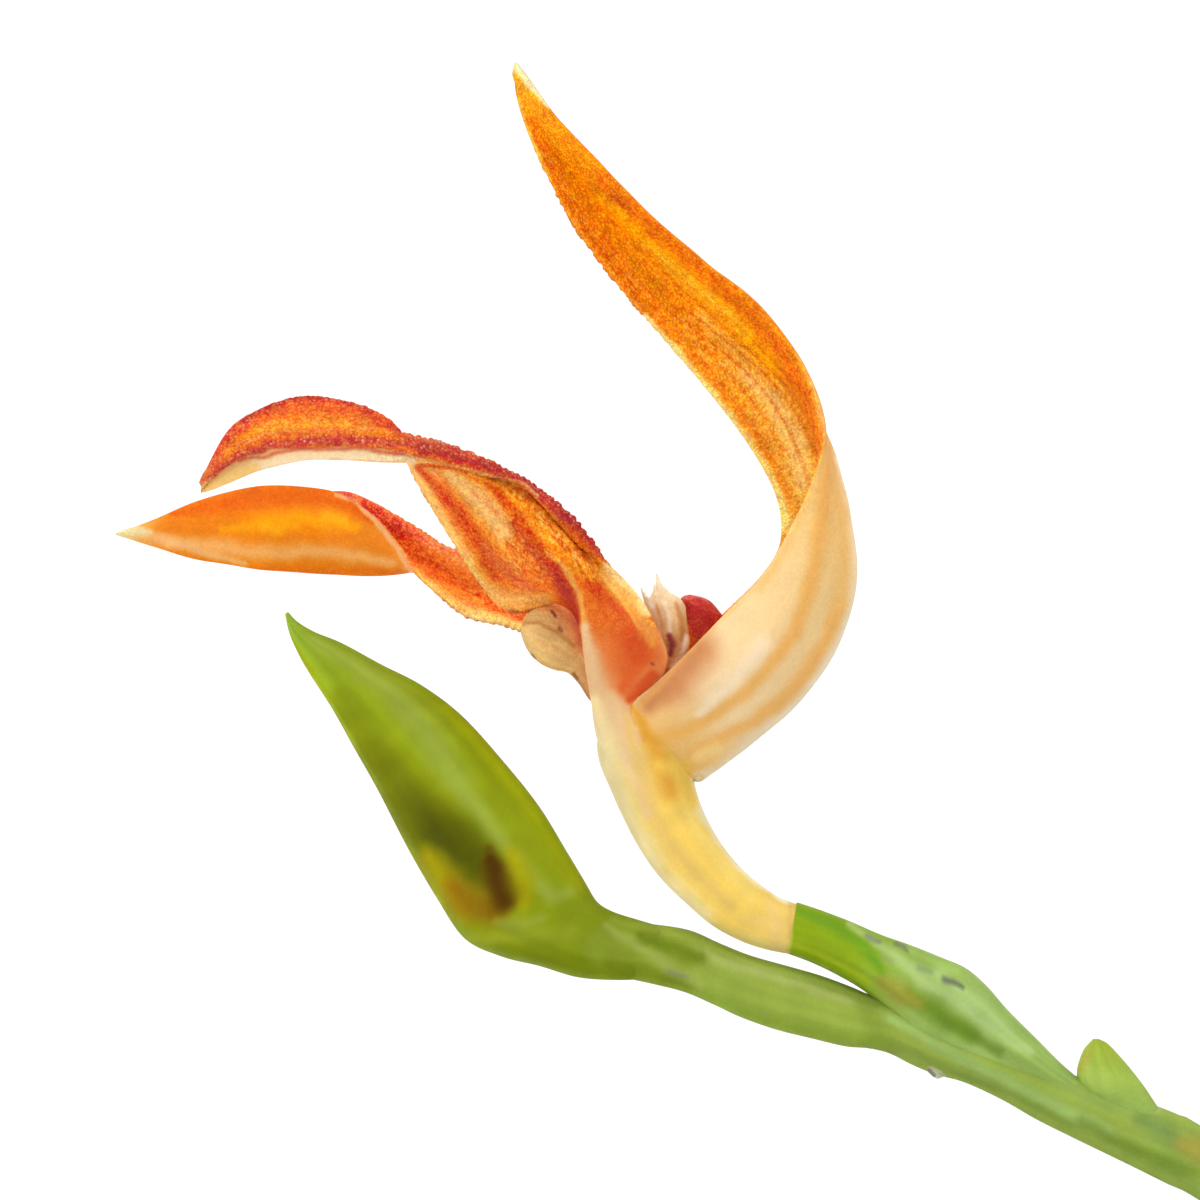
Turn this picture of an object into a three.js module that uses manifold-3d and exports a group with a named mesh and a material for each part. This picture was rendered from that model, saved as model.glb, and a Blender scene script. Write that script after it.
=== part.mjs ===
// Specklinia endotrachys, an orchid of the Pleurothallis group, in flower in a terracotta pot.
// Millimetres, +Z up. The origin is the centre of the pot's base.
import * as THREE from 'three';
import { mergeVertices } from 'three/addons/utils/BufferGeometryUtils.js';
import Module from 'manifold-3d';

const wasm = await Module();
wasm.setup();

const seed = 4127;

// gap left between pieces that touch, and the wider one round stems in the bark
const seatGap = 0.15;
const holeGap = 0.3;

const potHeight = 56;
const potBaseRadius = 22.5;
const potRimRadius = 33;
const potWall = 3.5;
const potBaseThickness = 4;
const potRimBand = 14;
const potRimStep = 2.2;
const potLipRound = 1.2;
const potSegments = 40;
const drainHoleRadius = 2.5;
const drainHoleOffset = 13;
const drainHoleCount = 3;
const drainHoleSides = 14;
const drainHoleTurn = 0.5;

const barkLevel = 49.5;
const barkWaveHeight = 0.45;
const barkRings = [21, 16, 11, 5.5];
const barkSegments = 32;
const chipCount = 56;
const chipTries = 4000;
const chipSpread = 23.5;
const chipLength = [4.5, 8.5];
const chipWidthShare = [0.5, 0.8];
const chipDepth = [5, 6.5];
const chipRise = [0.9, 2];
const chipTilt = 0.35;
const chipTaper = 0.86;

const stemFoot = 50.3;
const rhizomeRadius = [3.1, 2.4];
const rhizomeMiddle = [10, 8, 2.3];
const rootRadius = 0.75;
const rootSides = 6;
const rootSteps = 6;
const stemHoleDepth = 6;
const stemHoleSides = 8;

const leafSides = 10;
const bladeSteps = 12;
const leafThickness = 1.3;
const leafBluntness = 0.6;
const stemHalfWidth = 1.25;
const neckShare = 0.85;
const tipShare = 0.45;
const leafStalkLength = 12;
const leafStalkShare = 0.12;
const widestPlace = 0.64;
const foldAtStalk = 0.85;
const foldAtTip = 0.16;

// the flower's base, where the sepals meet above the ovary, and the end of the bud's stalk
const flowerBase = [-34.2, 0, 137.6];
const bladeThickness = 0.6;
const sepalSteps = 15;
const petalSteps = 5;

const terracotta = { color: 0xb8694a, roughness: 0.85, metalness: 0 };
const bark = { color: 0x5a3a26, roughness: 0.95, metalness: 0 };
const rootSkin = { color: 0xb9b39a, roughness: 0.8, metalness: 0 };
const leafGreen = { color: 0x4f7d33, roughness: 0.4, metalness: 0 };
const stalkGreen = { color: 0x86ad4f, roughness: 0.45, metalness: 0 };
const budGreen = { color: 0x8bb31f, roughness: 0.4, metalness: 0 };
const pedicelYellow = { color: 0xf3d490, roughness: 0.45, metalness: 0 };
const sepalOrange = { color: 0xe9861a, roughness: 0.5, metalness: 0 };
const sepalRed = { color: 0xdb5d22, roughness: 0.5, metalness: 0 };
const petalWhite = { color: 0xf3e6cf, roughness: 0.5, metalness: 0 };
const lipAmber = { color: 0xe0a878, roughness: 0.5, metalness: 0 };
const columnRed = { color: 0xa02a22, roughness: 0.45, metalness: 0 };

const up = new THREE.Vector3(0, 0, 1);
const group = new THREE.Group();

const vector = ([x, y, z]) => new THREE.Vector3(x, y, z);
const smoothLine = (points) => new THREE.CatmullRomCurve3(points.map(vector), false, 'centripetal');

function addPiece(name, geometry, finish) {
  const mesh = new THREE.Mesh(geometry, new THREE.MeshStandardMaterial(finish));
  mesh.name = name;
  group.add(mesh);
}

// a value between the entries of an evenly spaced list, t from 0 to 1
function along(values, t) {
  const place = t * (values.length - 1);
  const before = Math.min(Math.floor(place), values.length - 2);
  return THREE.MathUtils.lerp(values[before], values[before + 1], place - before);
}

function seededRandom(start) {
  let state = start;
  return () => {
    state = (state * 1664525 + 1013904223) % 4294967296;
    return state / 4294967296;
  };
}

// a closed skin through rings of equal, even length, each running anticlockwise seen from the far end
function loft(rings) {
  const count = rings[0].length;
  const last = (rings.length - 1) * count;
  const index = [];
  for (let ring = 0; ring < rings.length - 1; ring++) {
    for (let j = 0; j < count; j++) {
      const a = ring * count + j;
      const b = ring * count + ((j + 1) % count);
      index.push(a, b, b + count, a, b + count, a + count);
    }
  }
  for (let j = 0; j < count / 2 - 1; j++) {
    const far = count - 1 - j;
    index.push(j, far, far - 1, j, far - 1, j + 1);
    index.push(last + j, last + far - 1, last + far, last + j, last + j + 1, last + far - 1);
  }
  const geometry = new THREE.BufferGeometry();
  const positions = rings.flat().flatMap((point) => point.toArray());
  geometry.setAttribute('position', new THREE.Float32BufferAttribute(positions, 3));
  geometry.setIndex(index);
  return geometry;
}

function ellipseRing(centre, across, lift, halfWidth, halfHeight, sides, bluntness = 1) {
  return Array.from({ length: sides }, (_, j) => {
    const angle = ((j + 0.5) / sides) * 2 * Math.PI;
    const sine = Math.sin(angle);
    const height = Math.sign(sine) * Math.abs(sine) ** bluntness;
    return centre
      .clone()
      .addScaledVector(across, Math.cos(angle) * halfWidth)
      .addScaledVector(lift, height * halfHeight);
  });
}

// a stalk along a line, with an elliptical section that is halfWide across and halfDeep towards facing
function stalk(points, halfWide, halfDeep, steps, sides, facing) {
  const line = smoothLine(points);
  const rings = Array.from({ length: steps + 1 }, (_, i) => {
    const t = i / steps;
    const centre = line.getPointAt(t);
    const direction = line.getTangentAt(t);
    const across = new THREE.Vector3().crossVectors(facing, direction).normalize();
    const lift = new THREE.Vector3().crossVectors(direction, across);
    return ellipseRing(centre, across, lift, along(halfWide, t), along(halfDeep, t), sides);
  });
  return loft(rings);
}

// a thin blade between an edge line, a fold line and the other edge line, all from base to tip
function blade(edge, fold, otherEdge, steps) {
  const lines = [edge, fold, otherEdge].map(smoothLine);
  const acrossSteps = 4;
  const point = (s, t) => {
    const through = lines.map((line) => line.getPoint(t));
    return new THREE.CatmullRomCurve3(through, false, 'centripetal').getPoint(s);
  };
  const nudge = 0.02;
  const normalAt = (s, t) => {
    const sideways = point(Math.min(s + nudge, 1), t).sub(point(Math.max(s - nudge, 0), t));
    const forward = point(s, Math.min(t + nudge, 1)).sub(point(s, Math.max(t - nudge, 0)));
    return sideways.cross(forward).normalize();
  };
  const rings = [];
  for (let i = 0; i <= steps; i++) {
    const t = i / steps;
    const above = [];
    const below = [];
    for (let j = 0; j <= acrossSteps; j++) {
      const s = j / acrossSteps;
      const half = normalAt(s, t).multiplyScalar(bladeThickness / 2);
      above.push(point(s, t).add(half));
      below.unshift(point(s, t).sub(half));
    }
    rings.push([...above, ...below]);
  }
  return loft(rings);
}

function solid(geometry) {
  const bare = geometry.clone();
  bare.deleteAttribute('normal');
  bare.deleteAttribute('uv');
  const merged = mergeVertices(bare, 1e-4);
  const corners = merged.index.array;
  const kept = [];
  for (let i = 0; i < corners.length; i += 3) {
    const [a, b, c] = corners.slice(i, i + 3);
    if (a !== b && b !== c && c !== a) kept.push(a, b, c);
  }
  return new wasm.Manifold(
    new wasm.Mesh({
      numProp: 3,
      vertProperties: new Float32Array(merged.attributes.position.array),
      triVerts: new Uint32Array(kept),
    }),
  );
}

function geometryOf(body) {
  const mesh = body.getMesh();
  const geometry = new THREE.BufferGeometry();
  geometry.setAttribute('position', new THREE.BufferAttribute(mesh.vertProperties, 3));
  geometry.setIndex(new THREE.BufferAttribute(mesh.triVerts, 1));
  return geometry;
}

const joined = (bodies) => bodies.reduce((whole, next) => whole.add(next));
const cutBy = (body, tools) => tools.reduce((rest, tool) => rest.subtract(tool), body);

function ball(centre, radii, detail) {
  const geometry = new THREE.IcosahedronGeometry(1, detail);
  geometry.scale(...radii);
  geometry.translate(...centre);
  return solid(geometry);
}

const potWallAt = (z) => THREE.MathUtils.lerp(potBaseRadius, potRimRadius - potRimStep, z / potHeight);
const potInnerAt = (z) => potWallAt(z) - potWall;

// the pot is turned about Z, and its drain holes are clear of the base's centre

function makePot() {
  const bandFoot = potHeight - potRimBand;
  const profile = [
    [0, 0],
    [potBaseRadius - 1, 0],
    [potBaseRadius, 1],
    [potWallAt(bandFoot - potLipRound), bandFoot - potLipRound],
    [potWallAt(bandFoot) + potRimStep - 0.8, bandFoot],
    [potWallAt(bandFoot) + potRimStep, bandFoot + 1],
    [potRimRadius, potHeight - potLipRound],
    [potRimRadius - potLipRound, potHeight],
    [potRimRadius - potWall - 0.4, potHeight],
    [potRimRadius - potWall - 1.4, potHeight - potLipRound],
    [potWallAt(potBaseThickness + 2) - potWall, potBaseThickness + 2],
    [potWallAt(potBaseThickness) - potWall - 2, potBaseThickness],
    [0, potBaseThickness],
  ];
  const turned = new THREE.LatheGeometry(
    profile.map(([x, y]) => new THREE.Vector2(x, y)),
    potSegments,
  ).rotateX(Math.PI / 2);
  const drillLength = 3 * potBaseThickness;
  const drains = Array.from({ length: drainHoleCount }, (_, i) => {
    const angle = (i / drainHoleCount) * 2 * Math.PI + drainHoleTurn;
    const drill = new THREE.CylinderGeometry(drainHoleRadius, drainHoleRadius, drillLength, drainHoleSides);
    drill.rotateX(Math.PI / 2);
    drill.translate(drainHoleOffset * Math.cos(angle), drainHoleOffset * Math.sin(angle), 0);
    return solid(drill);
  });
  return cutBy(solid(turned), drains);
}

// leaves: a short stem, a channelled stalk and a leathery blade, all one growth
// foot is the place on the rhizome, heading the way that the leaf leans, lean its tilt from
// upright at the foot and at the tip, all in degrees; turn is how far the heading swings
const leaves = [
  { foot: [4.5, 1], heading: 22, lean: [5, 20], turn: 8, twist: 12, length: 90, width: 15.5, stem: 17 },
  { foot: [-3, 5], heading: 128, lean: [8, 36], turn: -14, twist: -10, length: 76, width: 14, stem: 15 },
  { foot: [-7, -1.5], heading: 196, lean: [12, 58], turn: 10, twist: 14, length: 70, width: 13.5, stem: 12 },
  { foot: [0.5, -6], heading: 262, lean: [10, 50], turn: -10, twist: -12, length: 74, width: 14.5, stem: 13 },
  { foot: [8, -4.5], heading: 314, lean: [10, 54], turn: 12, twist: 10, length: 80, width: 15, stem: 15 },
  { foot: [10.5, 4], heading: 44, lean: [14, 62], turn: 10, twist: -8, length: 74, width: 14, stem: 14 },
  { foot: [2.5, 8], heading: 86, lean: [6, 42], turn: -8, twist: 10, length: 82, width: 15, stem: 16 },
  { foot: [-8, 5], heading: 163, lean: [12, 52], turn: 12, twist: -10, length: 64, width: 13, stem: 12 },
  { foot: [-2.5, -1.5], heading: 236, lean: [4, 24], turn: -6, twist: 6, length: 50, width: 9.5, stem: 9 },
];

// a blade's half width from its base to its tip, as a share of the widest
function bladeOutline(t) {
  if (t < widestPlace) return 0.16 + 0.84 * Math.sin((Math.PI / 2) * (t / widestPlace)) ** 1.25;
  return Math.sqrt(Math.max(0, 1 - ((t - widestPlace) / (1 - widestPlace)) ** 2.3));
}

function leafHalfWidth(leaf, s) {
  const bladeStart = leaf.stem + leafStalkLength / 2;
  if (s < bladeStart) return stemHalfWidth * THREE.MathUtils.lerp(1, neckShare, s / bladeStart);
  const t = (s - bladeStart) / (leaf.length - bladeStart);
  const narrowest = stemHalfWidth * (t < widestPlace ? neckShare : tipShare);
  return Math.max(narrowest, bladeOutline(t) * (leaf.width / 2));
}

function makeLeaf(leaf) {
  const [startLean, endLean] = leaf.lean.map(THREE.MathUtils.degToRad);
  const centre = new THREE.Vector3(...leaf.foot, stemFoot);
  const bladeStart = leaf.stem + leafStalkLength / 2;
  const stops = [0, leaf.stem / 2, leaf.stem, bladeStart];
  for (let i = 1; i <= bladeSteps; i++) {
    stops.push(bladeStart + (leaf.length - bladeStart) * Math.sin((Math.PI / 2) * (i / bladeSteps)) ** 0.9);
  }
  let travelled = 0;
  const rings = stops.map((s) => {
    const share = s / leaf.length;
    const angle = THREE.MathUtils.lerp(startLean, endLean, share ** 1.3);
    const heading = THREE.MathUtils.degToRad(leaf.heading + leaf.turn * share);
    const outward = new THREE.Vector3(Math.cos(heading), Math.sin(heading), 0);
    const direction = outward.clone().multiplyScalar(Math.sin(angle)).addScaledVector(up, Math.cos(angle));
    centre.addScaledVector(direction, s - travelled);
    travelled = s;
    const across = new THREE.Vector3().crossVectors(up, outward).negate();
    across.applyAxisAngle(direction, THREE.MathUtils.degToRad(leaf.twist) * share);
    const lift = new THREE.Vector3().crossVectors(direction, across);
    const halfWidth = leafHalfWidth(leaf, s);
    const onBlade = Math.max(0, (s - leaf.stem) / (leaf.length - leaf.stem));
    const flatness = Math.min(1, onBlade / leafStalkShare);
    const halfThick = THREE.MathUtils.lerp(halfWidth, leafThickness / 2, flatness) * (1 - 0.25 * onBlade);
    const fold = flatness * THREE.MathUtils.lerp(foldAtStalk, foldAtTip, Math.min(1, onBlade * 2.2));
    const ring = ellipseRing(centre, across, lift, halfWidth, halfThick, leafSides, leafBluntness);
    return ring.map((point) => {
      const offset = Math.abs(point.clone().sub(centre).dot(across));
      return point.addScaledVector(lift, fold * offset);
    });
  });
  return loft(rings);
}

// the rhizome, one swelling under each stem, and roots that run over the bark and down into it
const roots = [
  [[8, 2, 50], [15, 1, 51.2], [20, -3, 50.4], [23, -6, 46]],
  [[-6, 3, 50], [-13, 7, 51.4], [-18, 6, 50.6], [-22, 8, 46]],
  [[1, -5, 50], [-3, -12, 51.3], [-2, -18, 50.6], [-5, -22, 46]],
  [[7, -4, 50], [12, -10, 51.2], [17, -13, 50.2], [19, -16, 46]],
  [[3, 7, 50], [6, 14, 51.4], [4, 19, 50.5], [7, 23, 46]],
  [[-6, -2, 50], [-12, -6, 51.1], [-17, -11, 50.3], [-19, -13, 46]],
];

const skyward = new THREE.Vector3(0.3, 0.2, 1).normalize();

function makeCrown(swell) {
  const [wide, high] = rhizomeRadius;
  const swellings = leaves.map(({ foot }) =>
    ball([foot[0], foot[1], barkLevel + 0.4], [wide + swell, wide + swell, high + swell], 1),
  );
  const middle = ball([1, 1, barkLevel], rhizomeMiddle.map((radius) => radius + swell), 1);
  const radii = [rootRadius + swell, rootRadius * 0.9 + swell];
  const rootBodies = roots.map((points) => solid(stalk(points, radii, radii, rootSteps, rootSides, skyward)));
  return joined([middle, ...swellings, ...rootBodies]);
}

function stemHole({ foot, lean, heading }) {
  const radius = stemHalfWidth + holeGap;
  const drill = new THREE.CylinderGeometry(radius, radius, stemHoleDepth, stemHoleSides);
  drill.rotateX(Math.PI / 2);
  drill.translate(0, 0, stemHoleDepth / 2 - holeGap);
  const tilt = THREE.MathUtils.degToRad(lean[0]);
  const towards = THREE.MathUtils.degToRad(heading);
  const axis = new THREE.Vector3(-Math.sin(towards), Math.cos(towards), 0);
  drill.applyMatrix4(new THREE.Matrix4().makeRotationAxis(axis, tilt));
  drill.translate(foot[0], foot[1], stemFoot);
  return solid(drill);
}

// the bark is a plug that fills the pot, with an uneven top that the chips stand out of
function barkTop(x, y) {
  return barkLevel + barkWaveHeight * (Math.sin(x * 0.45 + 1) + Math.cos(y * 0.5 + x * 0.2));
}

function makeBarkPlug() {
  const foot = potBaseThickness + holeGap;
  const profile = [
    [0, foot],
    [potInnerAt(potBaseThickness) - 2.6, foot],
    [potInnerAt(potBaseThickness + 2) - 0.6, potBaseThickness + 2.4],
    [potInnerAt(barkLevel) - 0.9, barkLevel],
    ...barkRings.map((radius) => [radius, barkLevel]),
    [0, barkLevel],
  ];
  const plug = new THREE.LatheGeometry(
    profile.map(([x, y]) => new THREE.Vector2(x, y)),
    barkSegments,
  ).rotateX(Math.PI / 2);
  const place = plug.attributes.position;
  for (let i = 0; i < place.count; i++) {
    if (place.getZ(i) > barkLevel - 1) place.setZ(i, barkTop(place.getX(i), place.getY(i)));
  }
  return solid(plug);
}

function clearOfPlant(x, y, reach) {
  const onFeet = leaves.some(({ foot }) => Math.hypot(x - foot[0], y - foot[1]) < reach + rhizomeRadius[0]);
  const onRoots = roots.some((points) =>
    smoothLine(points)
      .getPoints(12)
      .some((point) => Math.hypot(x - point.x, y - point.y) < reach + rootRadius),
  );
  return !onFeet && !onRoots;
}

function makeChip(random) {
  const between = ([low, high]) => low + (high - low) * random();
  const length = between(chipLength);
  const width = length * between(chipWidthShare);
  const depth = between(chipDepth);
  const rise = between(chipRise);
  const distance = Math.sqrt(random()) * chipSpread;
  const bearing = random() * 2 * Math.PI;
  const x = distance * Math.cos(bearing);
  const y = distance * Math.sin(bearing);
  const [pitch, roll] = [0, 1].map(() => between([-chipTilt, chipTilt]));
  const turn = new THREE.Euler(pitch, roll, random() * Math.PI);
  const skew = between([0.75, 0.95]);
  const reach = Math.hypot(length, width) / 2;
  if (distance + reach > potInnerAt(barkLevel - depth) || !clearOfPlant(x, y, reach * 0.8)) return null;
  const chip = new THREE.BoxGeometry(length, width, depth);
  const place = chip.attributes.position;
  for (let i = 0; i < place.count; i++) {
    if (place.getX(i) > 0) place.setY(i, place.getY(i) * skew);
    if (place.getZ(i) > 0) place.setX(i, place.getX(i) * chipTaper);
  }
  chip.applyMatrix4(new THREE.Matrix4().makeRotationFromEuler(turn));
  chip.translate(x, y, barkTop(x, y) + rise - depth / 2);
  return solid(chip);
}

function makeChips(random) {
  const chips = [];
  for (let tries = 0; chips.length < chipCount && tries < chipTries; tries++) {
    const chip = makeChip(random);
    if (chip) chips.push(chip);
  }
  return chips;
}

// the flower stalk, from the joint at the top of the first stem, over to the left, then zig-zag
const scapeLine = [
  [6, 0.55, 66],
  [6.6, -0.5, 70.5],
  [7.2, -1.6, 77],
  [7.6, -2, 86],
  [6.2, -1.4, 97],
  [2, -0.6, 108],
  [-5, 0, 116.4],
  [-13, 0, 122.8],
  [-22, 0, 128],
  [-24.2, 0, 129.1],
  [-26.8, 0, 130.45],
  [-28.9, 0, 131.2],
  [-31.2, 0, 131.75],
  [-33.5, 0, 132.7],
  [-35, 0, 133.1],
];
const scapeSteps = 32;
const scapeHalfWide = [0.8, 0.85, 0.8, 0.75, 0.72, 0.7, 0.7, 0.7, 0.74, 0.78, 0.78, 0.7, 0.58, 0.6, 0.62];
const scapeHalfDeep = [0.7, 0.7, 0.6, 0.55, 0.5, 0.5, 0.5, 0.5, 0.5, 0.5, 0.48, 0.45, 0.42, 0.42, 0.45];
// small bracts that stand on the stalk: foot, tip and half width
const stalkBracts = [
  [[7.35, -1.75, 80], [6.7, -2, 88.5], 1.1],
  [[4.6, -1.2, 102], [2, -0.5, 109.6], 1.05],
  [[-8.5, 0, 119.3], [-14.6, 0, 124.9], 1],
  [[-21.9, 0, 128.3], [-24.4, 0, 130.9], 0.55],
];
const towardsViewer = new THREE.Vector3(0, 1, 0);

function makeScape(swell) {
  const wide = scapeHalfWide.map((value) => value + swell);
  const deep = scapeHalfDeep.map((value) => value + swell);
  const axis = solid(stalk(scapeLine, wide, deep, scapeSteps, 8, towardsViewer));
  const bracts = stalkBracts.map(([foot, tip, width]) => {
    const middle = foot.map((value, i) => value * 0.55 + tip[i] * 0.45);
    const taper = [width * 0.5, width, width * 0.85, 0.25].map((value) => value + swell);
    return solid(stalk([foot, middle, tip], taper, taper.map((value) => value * 0.8), 6, 8, towardsViewer));
  });
  return joined([axis, ...bracts]);
}

// everything from here on is placed from the flower's base: x to the right, y away, z up
const fromBase = (points) => points.map((point) => point.map((value, i) => flowerBase[i] + value));

const sheathLine = fromBase([
  [8.9, 0, -7.15],
  [7, 0, -6],
  [5.1, 0, -4.95],
  [3.33, 0, -4.18],
]);

const sheathHalfWide = [0.35, 0.72, 0.84, 0.76, 0.56];
const sheathHalfDeep = [0.4, 0.7, 0.75, 0.7, 0.54];

const makeSheath = () => stalk(sheathLine, sheathHalfWide, sheathHalfDeep, 10, 10, towardsViewer);

const budLine = fromBase([
  [-1.27, 0, -4.8],
  [-2.35, 0, -4.1],
  [-3.4, 0, -3],
  [-4.3, 0, -1.4],
  [-5.75, 0, 0.45],
  [-7.2, 0, 1.8],
  [-8.05, 0, 2.8],
]);
const budHalfWide = [0.47, 1.04, 1.42, 1.39, 1.27, 1.07, 0.77, 0.42, 0.1];
const budHalfDeep = [0.45, 0.8, 1, 1, 0.85, 0.65, 0.45, 0.28, 0.1];

const makeBud = () => stalk(budLine, budHalfWide, budHalfDeep, 14, 10, towardsViewer);

const ovaryLine = fromBase([
  [3.18, 0, -4.12],
  [2, 0, -3.67],
  [1.1, 0, -2.85],
  [0.4, 0, -1.8],
  [0.03, 0, -0.95],
  [-0.13, 0, 0.05],
]);
const ovaryRadius = [0.54, 0.6, 0.66, 0.74, 0.86, 1, 1.05];

function makeOvary(swell) {
  const radii = ovaryRadius.map((value) => value + swell);
  const line = [...ovaryLine];
  if (swell) line.push(line[line.length - 1].map((value, i) => value + [0, 0, swell][i]));
  return solid(stalk(line, radii, radii, 12, 12, towardsViewer));
}

// sepals: near edge, keel and far edge, from the base to the tip
const dorsalSepal = [
  fromBase([
    [0.2, -0.95, 0.4], [0.75, -1.4, 1.75], [1.65, -1.55, 2.75], [2.6, -1.6, 3.8], [3.25, -1.55, 5],
    [3.8, -1.3, 6.2], [3.9, -0.9, 7.2], [3.55, -0.65, 8.3], [2.45, -0.6, 9.8], [0.9, -0.6, 10.95],
    [-0.5, -0.55, 12.2], [-1.75, -0.45, 13.5], [-2.6, -0.25, 14.6], [-2.95, 0, 15.1],
  ]),
  fromBase([
    [0.9, 0, 0.3], [1.7, 0, -0.35], [2.85, 0, 0.3], [3.9, 0.05, 1.5], [4.5, 0.2, 3],
    [4.6, 0.5, 4.4], [4.35, 0.9, 5.8], [3.6, 1.15, 7.4], [2.3, 1.1, 9], [0.5, 0.95, 10.5],
    [-0.85, 0.8, 11.8], [-2, 0.6, 13.2], [-2.75, 0.3, 14.5], [-3, 0.1, 15.1],
  ]),
  fromBase([
    [0.2, 0.95, 0.4], [0.75, 1.4, 1.75], [1.65, 1.55, 2.75], [2.5, 1.6, 3.8], [2.95, 1.55, 4.9],
    [2.75, 1.4, 5.8], [2.1, 1.1, 6.7], [1.15, 0.65, 7.9], [-0.25, 0.35, 9.4], [-1.2, 0.25, 10.7],
    [-2.15, 0.2, 11.95], [-2.65, 0.2, 13.3], [-2.95, 0.15, 14.4], [-3.05, 0.2, 15.1],
  ]),
];

const nearLateralSepal = [
  fromBase([
    [-0.3, -1.1, 0.4], [-0.05, -1.6, 1.1], [0.2, -1.8, 2], [0, -1.85, 2.8], [-0.6, -1.8, 3.6],
    [-1.3, -1.65, 4.1], [-2, -1.55, 4.75], [-2.6, -1.5, 5.4], [-3.5, -1.6, 5.85], [-4.6, -2, 6.1],
    [-5.7, -2.7, 6.5], [-6.8, -3.1, 6.55], [-8, -3.2, 6.5], [-9.3, -3, 6.1], [-9.95, -2.6, 5.65],
  ]),
  fromBase([
    [-1.05, -0.75, 0.3], [-1.33, -1.5, 1], [-1.38, -2, 2], [-1.4, -2.2, 2.85], [-1.6, -2.4, 3.45],
    [-2.05, -2.45, 3.85], [-2.6, -2.45, 4.4], [-3.2, -2.45, 5.1], [-4, -2.4, 5.8], [-4.9, -2.4, 6.1],
    [-5.9, -2.3, 6.15], [-6.9, -2.35, 6.15], [-8.1, -2.4, 6.1], [-9.3, -2.5, 5.8], [-9.95, -2.5, 5.5],
  ]),
  fromBase([
    [-1.1, -0.15, 0.4], [-1.4, -0.7, 1], [-1.5, -0.85, 1.9], [-1.6, -0.9, 2.6], [-2, -0.75, 3.05],
    [-2.7, -0.4, 3.05], [-3.25, -0.1, 3.1], [-3.7, 0, 3.6], [-4.3, -0.1, 4.5], [-5, -0.5, 5.6],
    [-5.9, -0.9, 7.1], [-6.9, -1.2, 7.5], [-8.1, -1.4, 7.45], [-9.4, -1.9, 6.75], [-10, -2.35, 5.65],
  ]),
];

const farLateralSepal = [
  fromBase([
    [-1.1, 0.2, 0.4], [-1.4, 1, 1.1], [-1.9, 1.35, 2], [-2.55, 1.5, 2.35], [-3.2, 1.65, 2.55],
    [-4.1, 1.7, 2.7], [-4.9, 1.8, 3.3], [-5.35, 2, 3.85], [-5.8, 2.5, 4.55], [-6.4, 3.3, 5.25],
    [-7.3, 3.7, 5.5], [-8.7, 3.8, 5.6], [-10, 3.7, 5.3], [-11, 3.6, 4.9], [-11.8, 3.5, 4.65],
  ]),
  fromBase([
    [-0.95, 0.8, 0.3], [-1.15, 1.7, 1.1], [-1.55, 2.3, 2.1], [-2.3, 2.6, 2.65], [-3.1, 2.7, 3],
    [-4, 2.8, 3.45], [-4.8, 2.8, 3.9], [-5.35, 2.8, 4.2], [-5.85, 2.75, 4.25], [-6.45, 2.7, 4.15],
    [-7.35, 2.7, 4.15], [-8.7, 2.8, 4.2], [-10, 3, 4.4], [-11, 3.2, 4.6], [-11.8, 3.35, 4.6],
  ]),
  fromBase([
    [-0.3, 1.15, 0.4], [0.05, 1.75, 1.5], [-0.6, 1.95, 2.65], [-1.95, 1.95, 3.3], [-2.9, 2, 3.7],
    [-3.8, 2, 4.1], [-4.65, 2.05, 4.4], [-5.3, 2.3, 4.65], [-5.75, 3.1, 4.25], [-6.35, 3.35, 3.8],
    [-7.35, 3.4, 3.75], [-8.65, 3.5, 3.8], [-10, 3.5, 4.1], [-11, 3.5, 4.3], [-11.8, 3.45, 4.5],
  ]),
];

const petal = [
  [[-0.35, 0.95], [-0.4, 1.6], [-0.3, 2.6], [0.05, 3.35]],
  [[0, 0.9], [0.05, 1.6], [0.2, 2.6], [0.3, 3.4]],
  [[0.3, 0.95], [0.45, 1.6], [0.65, 2.5], [0.5, 3.3]],
];
const petalFromMiddle = [0.72, 0.75, 0.84, 0.9];
const petalBulge = [0, 0.1, 0];

const lipLine = fromBase([
  [-0.5, 0.15, 0.45],
  [-1.2, 0.22, 1],
  [-1.75, 0.3, 1.6],
  [-2.15, 0.3, 2.25],
  [-2.4, 0.3, 2.8],
]);
const lipHalfWide = [0.25, 0.32, 0.52, 0.68, 0.62, 0.3];
const lipHalfDeep = [0.28, 0.3, 0.48, 0.54, 0.5, 0.35];

const columnLine = fromBase([
  [0.15, 0, 0.35],
  [0.55, 0, 1.2],
  [0.95, 0, 2.1],
  [1.25, 0, 2.75],
  [1.3, 0, 3.15],
]);
const columnRadius = [0.36, 0.3, 0.32, 0.42, 0.44, 0.25];

function petalBlade(side) {
  const lines = petal.map((points, line) =>
    fromBase(points.map(([x, z], i) => [x, side * (petalFromMiddle[i] + petalBulge[line]), z])),
  );
  if (side > 0) lines.reverse();
  return blade(...lines, petalSteps);
}

addPiece('pot', geometryOf(makePot()), terracotta);
addPiece('crown', geometryOf(cutBy(makeCrown(0), leaves.map(stemHole))), rootSkin);

const barkBody = joined([makeBarkPlug(), ...makeChips(seededRandom(seed))]);
addPiece('substrate', geometryOf(cutBy(barkBody, [makeCrown(holeGap)])), bark);

// the flower stalk's foot is let into the side of the first leaf's stem
const scapeRoom = makeScape(seatGap);
leaves.forEach((leaf, i) => {
  const body = solid(makeLeaf(leaf));
  addPiece(`leaf_${i + 1}`, geometryOf(i === 0 ? cutBy(body, [scapeRoom]) : body), leafGreen);
});

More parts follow.
